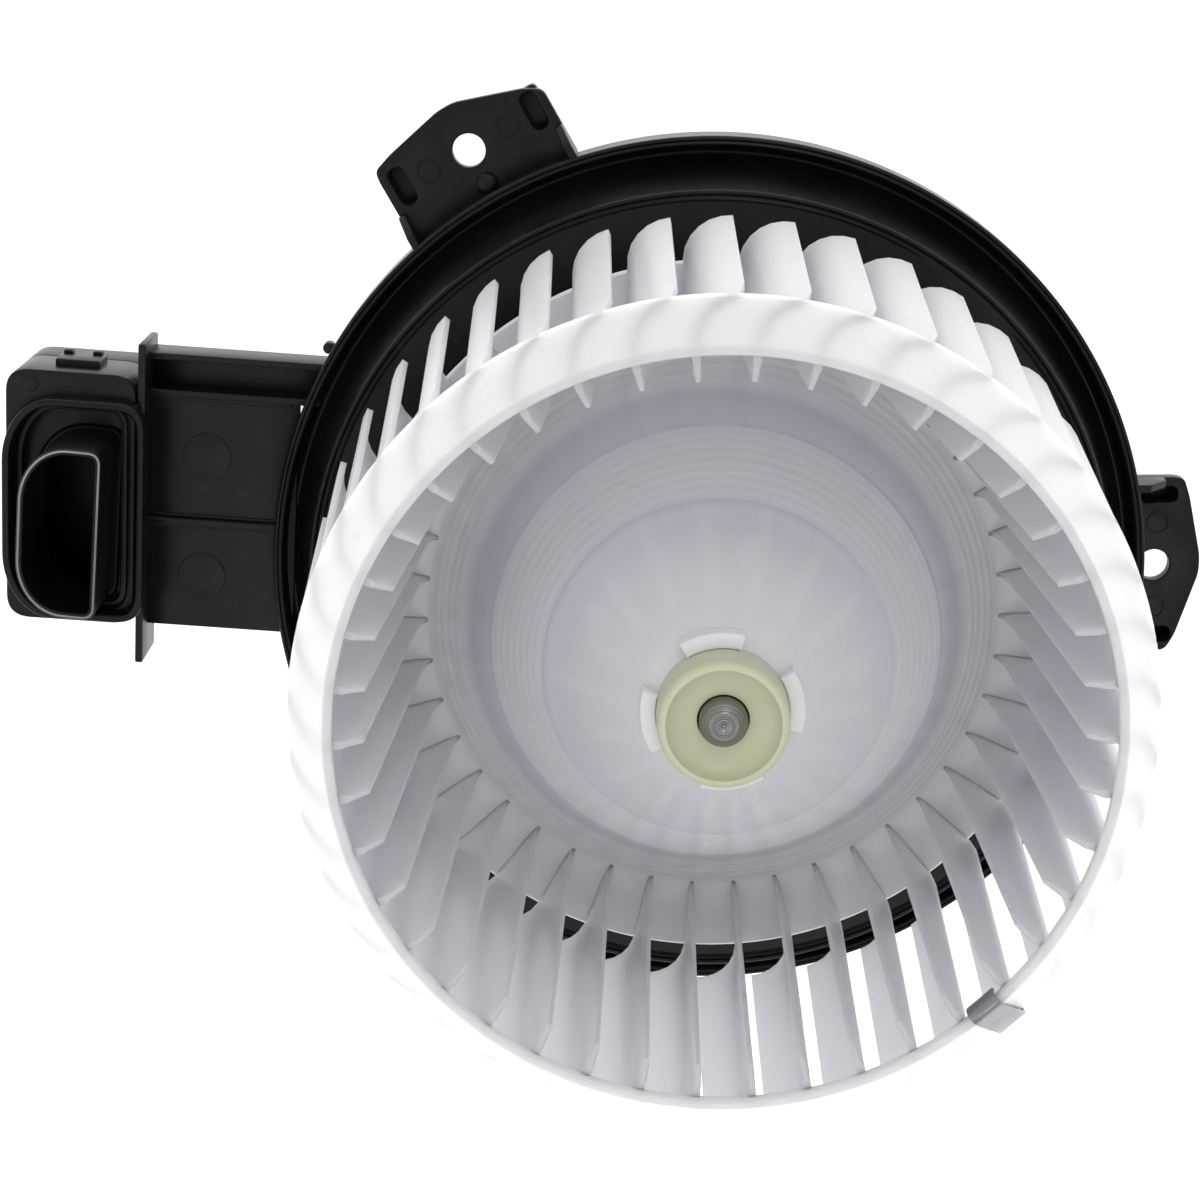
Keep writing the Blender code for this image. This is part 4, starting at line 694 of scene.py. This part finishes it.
# wheel: radii of the blades' outer edge at the rim and at the ring
wheel = {"blades": 42, "first": 2.0, "sweep": 6.9, "chord": 15.6, "thick": 1.25, "deep": 62.5,
         "tip": 72.9, "tipAtRing": 69.3}


def bladeCage():
    # camber: quarter ellipse from the tip in to mid chord, then radial; the section is carried
    # from the rim up into the ring
    w, deep = wheel, wheel["deep"]
    drop = np.concatenate([np.linspace(deep, 50.0, 8, endpoint=False),
                           np.linspace(50.0, 0.0, 6, endpoint=False), [0.0, -2.0, -4.4, -6.6]])
    outer = w["tip"] + (w["tipAtRing"] - w["tip"]) * np.clip(1 - drop / deep, 0, 1)
    ringLine = 69.2 - 7.9 * np.clip(-drop / 8.5, 0, 1)
    outside = np.where(drop > 0, outer, np.minimum(outer, ringLine))
    up = np.clip((deep - drop) / 12.0, 0, 1)
    inside = 52.4 + 1.8 * np.sqrt(1 - (1 - up) ** 2) + 3.2 * np.clip((52.0 - drop) / 56.5, 0, 1)
    inside = np.where(drop < -4.4, 60.4, inside)
    share = 1 - np.cos(np.linspace(0, 1, 12) * np.pi / 2)
    r = outside[:, None] - (outside - inside)[:, None] * share[None]
    along = np.clip((outer[:, None] - r) / (w["chord"] / 2), 0, 1)
    angle = np.radians(w["sweep"]) * np.sqrt(1 - (1 - along) ** 2)
    x, y = r * np.cos(angle), r * np.sin(angle)
    dx, dy = np.gradient(x, axis=1), np.gradient(y, axis=1)
    side = np.stack([-dy, dx], -1) / np.hypot(dx, dy)[..., None]
    # half thickness: full along the blade, rounded off at both ends
    thick = w["thick"] / 2 * np.minimum(1, np.minimum(0.92 + 2.6 * share, 0.55 + 3.0 * (1 - share)))
    line, offset = np.stack([x, y], -1), side * thick[None, :, None]
    loop = np.concatenate([line + offset, (line - offset)[:, ::-1]], 1)
    tall = np.broadcast_to((ringEdge - drop)[:, None, None], (*loop.shape[:2], 1))
    points, faces = grid(np.concatenate([loop, tall], -1))
    # end caps as strips across the section
    columns, top = loop.shape[1], (len(drop) - 1) * loop.shape[1]
    strips = [[i, i + 1, columns - 2 - i, columns - 1 - i] for i in range(columns // 2 - 1)]
    faces = [face[::-1] for face in faces] + strips
    faces += [[v + top for v in strip[::-1]] for strip in strips]
    return merged(*(swung((points, faces), w["first"] + 360.0 / w["blades"] * k) for k in range(w["blades"])))


def inletRing():
    e, f = ringEdge, ringFront
    corners = np.array([(62.1, f - 0.25), (62.5, f), (63.4, f), (69.75, e + 0.8), (70.0, e + 0.3),
                        (70.0, e - 0.9), (68.3, e - 0.9), (62.1, f - 2.2)])
    reach = np.array([0.15, 0.25, 0.7, 0.5, 0.3, 0.3, 0.4, 0.3])
    return turned(densed(filleted(corners, reach, 6), 1.2), 336)


# grooves and ridges: inner and outer radius, count, height
disc = {"grooves": (45.4, 52.0, 5, 0.12), "ridges": (31.0, 39.4, 7, 0.11), "dividers": 10, "wall": 1.6,
        "step": 0.22}


def waves(r, low, high, count):
    # count humps of a raised cosine between two radii, 0 outside them
    share = (r - low) / (high - low)
    inside = (share > 0) & (share < 1)
    return inside * (0.5 - 0.5 * np.cos(2 * np.pi * count * share))


def discLift(r, z, a):
    # concentric grooves near the rim and ridges half way up; the ridges stop at radial dividers
    g, d = disc["grooves"], disc["ridges"]
    front = z > discBack(r) + 0.9
    turn = (np.degrees(a) * disc["dividers"] / 360.0) % 1.0
    away = np.abs(turn - 0.5) * 360.0 / disc["dividers"] * np.pi / 180 * r
    clear = np.clip((away - 0.5) / 0.5, 0, 1)
    rise = -waves(r, *g[:3]) * g[3] + waves(r, *d[:3]) * d[3] * clear
    # the smooth band between them lies a step lower
    band = np.clip((r - 39.7) / 0.3, 0, 1) * np.clip((45.0 - r) / 0.3, 0, 1)
    return front * (rise - disc["step"] * band)


# the cone's front as (r, height above the ring's edge)
coneLine = np.array([(11.7, -10.0), (14.5, -12.2), (18.0, -16.0), (24.0, -23.0), (30.4, -31.1),
                     (35.0, -37.5), (39.9, -45.0), (42.5, -50.0), (44.7, -54.7), (48.5, -59.2),
                     (52.3, -62.5), (55.0, -62.6), (65.3, -62.6)])


def cone(r):
    return ringEdge + np.interp(r, coneLine[:, 0], coneLine[:, 1])


def discBack(r):
    return cone(r) - disc["wall"]


def wheelDiscPart():
    r = np.concatenate([np.linspace(11.7, 30.0, 22), np.linspace(30.2, 40.0, 64), np.linspace(40.2, 44.8, 12),
                        np.linspace(45.0, 52.6, 56), np.linspace(53.2, 65.2, 10)])
    front = np.stack([r, evened(cone(r))], -1)
    last = front[-1, 1]
    edge = [(65.6, last - 0.4), (65.6, last - 1.2), (65.2, last - 1.6)]
    inward = np.linspace(64.0, 14.0, 40)
    back = np.stack([inward - 0.7, cone(inward) - np.where(inward > 53, 1.6, 2.2)], -1)
    socket = [(13.2, hubSeat - 4.2), (13.2, hubSeat - 8.0), (10.7, hubSeat - 8.0), (10.7, hubSeat - 0.1)]
    return turned(np.concatenate([front, edge, back, socket]), 360, discLift)


def backRibs():
    # ribs on the cone's back: a strip between two lines r -> height, 1.2 mm thick
    r = np.linspace(16.0, 30.0, 12)
    high = cone(r) - 2.0
    low = high - np.interp(r, [16, 30], [1.8, 0.7])
    outline = np.concatenate([np.stack([r, low], -1), np.stack([r, high], -1)[::-1]])
    rib, count = stood(slab(outline, -0.6, 0.6, 0.15, steps=3)), discFinish["ribCount"]
    return merged(*(swung(rib, 360.0 / count * (k + 0.5)) for k in range(count)))


hub = {"radius": 10.8, "tabTurn": 98.0, "tabWide": 48.0}


def hubPart():
    t, r = hubTop, hub["radius"]
    low = t - 17.6
    # a bowl that falls as a quarter sine from the rim in to the shaft
    a = np.linspace(0, np.pi / 2, 14)
    bowl = np.stack([4.3 + 5.1 * np.sin(a), t - 3.4 * np.cos(a)], -1)
    line = np.concatenate([bowl[:-1], [(9.4, t), (9.95, t), (10.45, t - 0.25), (r, t - 0.8),
                                       (r + 0.12, t - 8.4), (r - 0.3, t - 9.0), (r - 0.3, low), (4.3, low)]])
    reach = np.concatenate([np.full(len(bowl) - 1, 0.05), [0.2, 0.3, 0.3, 0.4, 0.2, 0.3, 0.3, 0.3]])
    return turned(densed(filleted(line, reach, 4), 1.5), 160)


def sector(inner, outer, a):
    return np.concatenate([arc(outer, a), arc(inner, a[::-1])])


def hubTabs():
    # four tabs of the disc that stand round the hub
    half = math.radians(hub["tabWide"] / 2)
    tab = slab(sector(10.95, 13.6, np.linspace(-half, half, 24)), hubSeat - 3.2, hubSeat + 1.7, 0.35)
    return merged(*(swung(tab, hub["tabTurn"] + 90 * k) for k in range(4)))


def shaftPart():
    t, low = shaftTip, ends("shaft")[0].z
    return capped(np.array([
        (0, t - 0.7), (0.35, t - 0.55), (0.95, t - 0.12), (1.2, t), (1.7, t), (1.8, t - 0.06), (1.9, t),
        (2.2, t), (2.4, t - 0.12), (3.82, t - 1.55), (4.0, t - 1.9), (4.0, t - 30), (4.0, low + 0.7),
        (3.4, low), (0, low)]))


def balanceClip():
    # a strip 5.6 mm wide carried along a bent path over the ring's front edge, 0.6 mm thick
    path = np.array([(70.2, -2.6), (70.7, -1.2), (70.9, 0.2), (70.2, 1.2), (66.9, 4.7), (63.2, 8.7),
                     (62.2, 9.3), (61.3, 8.7), (61.1, 7.2), (61.7, 5.4)])
    t, at = np.linspace(0, len(path) - 1, 48), np.arange(len(path))
    line = np.stack([evened(np.interp(t, at, path[:, k])) for k in (0, 1)], -1)
    along = np.gradient(line, axis=0)
    half = 0.3 * np.stack([along[:, 1], -along[:, 0]], -1) / np.hypot(*along.T)[:, None]
    outline = np.concatenate([line + half, (line - half)[::-1]]) + np.array([0, ringEdge])
    middle = wheel["first"] + 35.5 * 360.0 / wheel["blades"] + wheel["sweep"]
    return swung(stood(slab(outline, -2.8, 2.8, 0.12, steps=3)), middle)


rotorPiece("bladeCage", merged(bladeCage(), inletRing()), wheelWhite, "milky_plastic", "wheel_blade_cage")
rotorPiece("wheelDisc", merged(wheelDiscPart(), backRibs()), wheelDisc, "milky_plastic", "wheel_base_disc")
rotorPiece("hubTabs", hubTabs(), tabWhite, "milky_plastic")
rotorPiece("wheelHub", hubPart(), hubCream, "cream_nylon", "wheel_hub")
rotorPiece("motorShaft", shaftPart(), groundSteel, "bright_steel", "shaft")
rotorPiece("balanceClip", balanceClip(), springSteel, "bright_steel", "balance_clip")
print("wheel made")

# motor and rear cover
motor = {"bossRise": 4.0, "isolatorRibs": 6}


def motorCan():
    low, top = ends("motor_can")[0].z, ends("motor_can")[1].z - motor["bossRise"]
    corners = np.array([(5.0, top + 4.0), (10.1, top + 4.0), (10.3, top), (25.6, top), (29.6, top - 1.2),
                        (31.0, top - 5.0), (31.0, low + 3.0), (31.25, low + 2.4), (31.25, low), (29.2, low),
                        (29.2, top - 5.5), (25.2, top - 1.8), (10.1, top - 1.8), (10.1, top - 6.1),
                        (8.3, top - 6.1), (8.3, top + 2.2), (5.0, top + 2.2)])
    reach = np.full(len(corners), 0.4)
    reach[[1, 3, 4, 5]] = np.array([1.2, 1.6, 1.8, 2.0])
    return turned(densed(filleted(corners, reach, 6), 2.0), 192)


def isolatorRing():
    # r = 34.3 - 0.28 (1 - cos(2 pi ribs share of the height)) / 2 on the outside
    low, high = (corner.z for corner in ends("isolator_ring"))
    z = np.linspace(low + 0.8, high - 0.8, 60)
    share = (z - low) / (high - low)
    r = 34.3 - 0.28 * (0.5 - 0.5 * np.cos(2 * np.pi * motor["isolatorRibs"] * share))
    outer = np.stack([r, z], -1)[::-1]
    return turned(np.concatenate([[(31.45, high), (33.4, high)], outer, [(33.4, low), (31.45, low)]]), 160)


cover = {"outer": 38.0, "inner": 35.6, "top": 23.63, "lugs": (30.0, 150.0, 270.0), "lugLow": 20.63,
         "plug": -60.0, "ribs": 24}


def wallBand(low, high, start, end):
    # a stretch of the round wall between two angles, in degrees
    a = np.radians(np.linspace(start, end, max(6, int(abs(end - start) / 2.5))))
    return slab(sector(cover["inner"], cover["outer"], a), low, high, 0.25, steps=3)


def rearCover():
    c, top, low = cover, cover["top"], cover["lugLow"]
    r, inner = c["outer"], c["inner"]
    # the floor, with two shallow steps on its underside
    line = np.array([(0.0, 0.0), (9.0, 0.0), (9.5, 0.0), (12.0, 0.0), (12.4, 0.3), (14.0, 0.3), (14.4, 0.0),
                     (27.0, 0.0), (27.4, 0.3), (29.0, 0.3), (29.4, 0.0), (36.6, 0.0), (37.7, 0.4), (r, 1.2),
                     (r, 2.6), (inner, 2.6), (0.0, 2.5)])
    # windows in the wall: air from the duct at the arm, the connector opposite
    duct = (arm["turn"] - 22.0, arm["turn"] + 11.0)
    plug = (c["plug"] - 16.0, c["plug"] + 16.0)
    wall = filleted([(inner, 12.1), (r, 12.1), (r, top), (inner, top)], 0.4, 5)
    parts = [
        capped(line[::-1], 160),
        wallBand(2.3, 8.8, plug[1], duct[0]),
        wallBand(2.3, 8.8, duct[1], 360 + plug[0]),
        wallBand(8.5, 12.4, plug[1], 360 + plug[0]),
        turned(densed(wall, 2.0), 160),
    ]
    place = (flange["bossCircle"], 0)
    lug = merged(slab(circle(*place, 4.4), low, top, 0.35, [circle(*place, screwBore)]),
                 bar(36.8, 39.6, -4.4, 4.4, low, top),
                 *(bar(37.2, 40.4, y - 0.6, y + 0.6, 15.0, 21.0) for y in (-3.6, 3.6)))
    parts += [swung(lug, angle) for angle in c["lugs"]]
    for k in range(c["ribs"]):        # grip ribs round the wall, left out at the lugs and the duct
        angle = 360.0 / c["ribs"] * (k + 0.5)
        toLug = min(abs((angle - lugAngle + 180) % 360 - 180) for lugAngle in c["lugs"])
        if toLug > 9 and abs(angle - arm["turn"]) > 24:
            parts.append(swung(bar(37.6, 38.5, -0.5, 0.5, 13.0, 22.6, 0.2), angle))
    return merged(*parts)


def connectorPart():
    # a sleeve open at its far end, with a latch and two guide ribs
    low, high = (corner.z for corner in ends("connector_housing"))
    x0, x1, half, middle = 34.1, 52.0, 9.0, (low + high) / 2
    outline = rectangle(-half, half, low, high, 1.2, 6)
    bore = rectangle(-half + 1.5, half - 1.5, low + 1.5, high - 1.5, 0.6, 6)
    slots = [rectangle(y - 1.8, y + 1.8, middle - 0.6, middle + 0.6, 0.2, 4) for y in (-4.0, 4.0)]
    parts = [bar(x1 - 7.0, x1 - 4.5, -2.2, 2.2, high - 0.3, high + 0.9, 0.35)]
    parts += [bar(x0 + 5.0, x1 - 0.6, y - 0.5, y + 0.5, high - 0.3, high + 0.5, 0.25) for y in (-6.0, 6.0)]
    for start, end, holes in ((x0, x0 + 4.0, slots), (x0 + 3.6, x1, [bore])):
        points, faces = slab(outline, start, end, 0.3, holes)
        parts.append((points[:, [2, 0, 1]], faces))
    return swung(merged(*parts), cover["plug"])


def terminalPart(side):
    # a flat blade with its tip drawn in
    low, high = (corner.z for corner in ends("connector_housing"))
    middle, y = (low + high) / 2, side * 4.0
    outline = filleted([(33.1, y - 1.6), (47.6, y - 1.6), (49.0, y - 0.9), (49.0, y + 0.9),
                        (47.6, y + 1.6), (33.1, y + 1.6)], 0.3, 4)
    blade = slab(outline, middle - 0.4, middle + 0.4, 0.14, [circle(45.0, y, 0.6, 24)])
    return swung(blade, cover["plug"])


screw = {"head": 3.8, "headHigh": 2.4, "core": 1.72, "thread": 0.2, "pitch": 0.8, "recess": 1.5, "sides": 36}


def screwPart(node):
    # head with a six sided recess, plain neck, and a thread: r rises and falls as the cosine of
    # (2 pi z / pitch - a)
    c, (lo, hi) = screw, ends(node)
    middle = np.array([(lo.x + hi.x) / 2, (lo.y + hi.y) / 2])
    low, seat, top, head = lo.z, lo.z + c["headHigh"], hi.z, c["head"]
    z = np.concatenate([[low], np.linspace(low, seat - 0.9, 6), [seat - 0.2, seat, seat],
                        np.linspace(seat + 0.2, top - 0.4, 90), [top]])
    r = np.concatenate([[2.2], head - 1.5 * (1 - np.sin(np.linspace(0.35, 1.57, 6))),
                        [head, head - 0.1, 1.85], np.full(90, c["core"]), [1.2]])
    a = np.linspace(0, 2 * np.pi, c["sides"], endpoint=False)
    thread = np.zeros(len(z))
    thread[10:-1] = c["thread"]
    radius = r[:, None] + thread[:, None] * np.cos(2 * np.pi * z[:, None] / c["pitch"] - a)

    def rings(radius, z):
        flat = middle + radius[..., None] * arc(1.0, a)
        return np.concatenate([flat, np.broadcast_to(z[:, None, None], (*flat.shape[:2], 1))], -1)

    recess = c["recess"] / np.cos(a % (np.pi / 3) - np.pi / 6)
    body = np.concatenate([rings(np.stack([recess, recess]), np.array([low + 1.4, low])), rings(radius, z)])
    points, faces = grid(body)
    ring = np.arange(c["sides"])
    return points, faces + [ring[::-1].tolist(), (ring + (len(body) - 1) * c["sides"]).tolist()]


# a pale grey for the thin band along the snout's mouth
paleMouthLine = milkyPlastic("paleMouthLine", (0.34, 0.34, 0.34), (0.16, 0.16, 0.16), 0.0)
housingPiece("motorCan", motorCan(), zincSteel, "zinc_steel", "motor_can")
housingPiece("isolatorRing", isolatorRing(), ringRubber, "rubber", "isolator_ring")
housingPiece("rearCover", rearCover(), black, "black_plastic", "motor_rear_cover")
housingPiece("connectorShell", connectorPart(), black, "black_plastic", "connector_housing")
housingPiece("terminalPlus", terminalPart(-1), brassSheet, "brass", "terminal_positive")
housingPiece("terminalMinus", terminalPart(1), brassSheet, "brass", "terminal_negative")
for node in ("cover_screw_1", "cover_screw_2", "cover_screw_3", "duct_screw_1", "duct_screw_2"):
    name = node.replace("_s", "S").replace("_", "")
    housingPiece(name, screwPart(node), zincSteel, "zinc_steel", node)
housingPiece("snoutEdge", scoopEdge(), paleMouthLine, "black_plastic")

# the sealed inner pieces keep their shape and get a finish
inside = {
    zincSteel: ["end_bracket"], ferriteBlack: ["magnet_upper", "magnet_lower"],
    springSteel: ["magnet_clip_right", "magnet_clip_left", "brush_spring_right", "brush_spring_left"],
    bronzeBush: ["front_bearing", "rear_bearing"], wheelWhite: ["front_thrust_washer", "rear_thrust_washer"],
    laminations(): ["armature_core"], windingWire(): ["armature_winding", "choke_coil_1", "choke_coil_2"],
    barCopper: ["commutator"], boardCard: ["brush_card"], brushCarbon: ["brush_right", "brush_left"],
    brassSheet: ["brush_holder_right", "brush_holder_left"],
}
for finish, names in inside.items():
    for name in names:
        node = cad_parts[name]
        node.data.materials.clear()
        node.data.materials.append(finish)
        node.data.shade_smooth()
        node.data.set_sharp_from_angle(angle=sharpAngle)
print("motor made")


# floor, light and camera, in metres
studio = {"floor": (0.90, 0.90, 0.90), "glow": 0.85, "sky": 0.74, "key": 0.8, "fill": 0.6, "rim": 1.0,
          "aim": 0.06}


def floorMaterial():
    m = Nodes("floorWhite")
    m.shader.inputs["Emission Color"].default_value = (1, 1, 1, 1)    # a lit table
    return m.finish(m.ramp(m.noise(3.0), (0.3, studio["floor"]), (0.7, (0.92, 0.92, 0.92))), 0.75,
                    Emission_Strength=studio["glow"])


floorMesh = bpy.data.meshes.new("floor")
corners = [(-12.0, -12.0, -0.0004), (12.0, -12.0, -0.0004), (12.0, 12.0, -0.0004), (-12.0, 12.0, -0.0004)]
floorMesh.from_pydata(corners, [], [(0, 1, 2, 3)])
floorMesh.materials.append(floorMaterial())
floor = bpy.data.objects.new("floor", floorMesh)
bpy.context.scene.collection.objects.link(floor)

world = bpy.data.worlds.new("studioAir")
bpy.context.scene.world = world
world.use_nodes = True
air = world.node_tree.nodes["Background"]
air.inputs["Color"].default_value = (1, 1, 1, 1)
air.inputs["Strength"].default_value = studio["sky"]
bpy.context.scene.view_settings.view_transform = "Standard"    # so that a white floor comes out white


def softLight(name, place, size, power):
    light = bpy.data.lights.new(name, "AREA")
    light.shape = "DISK"
    light.size = size
    light.energy = power
    made = bpy.data.objects.new(name, light)
    made.location = place
    made.rotation_euler = (Vector((0, 0, studio["aim"])) - Vector(place)).to_track_quat("-Z", "Y").to_euler()
    bpy.context.scene.collection.objects.link(made)


softLight("keyLight", (0.10, -0.30, 0.95), 0.6, studio["key"])
softLight("fillLight", (-0.6, -0.15, 0.8), 0.7, studio["fill"])
softLight("backLight", (0.15, 0.80, 0.75), 0.3, studio["rim"])

camera = bpy.data.cameras.new("viewCamera")
camera.sensor_width = 36.0
camera.lens = 76.05
camera.shift_x, camera.shift_y = -0.0417, 0.0667
camera.clip_start = 0.01
viewer = bpy.data.objects.new("viewCamera", camera)
viewer.location = (-0.01372, 0.13337, ringEdge * mm + 0.38397)
viewer.rotation_euler = (math.radians(-18.04), math.radians(-0.27), 0)
bpy.context.scene.collection.objects.link(viewer)
bpy.context.scene.camera = viewer
print("stage set")
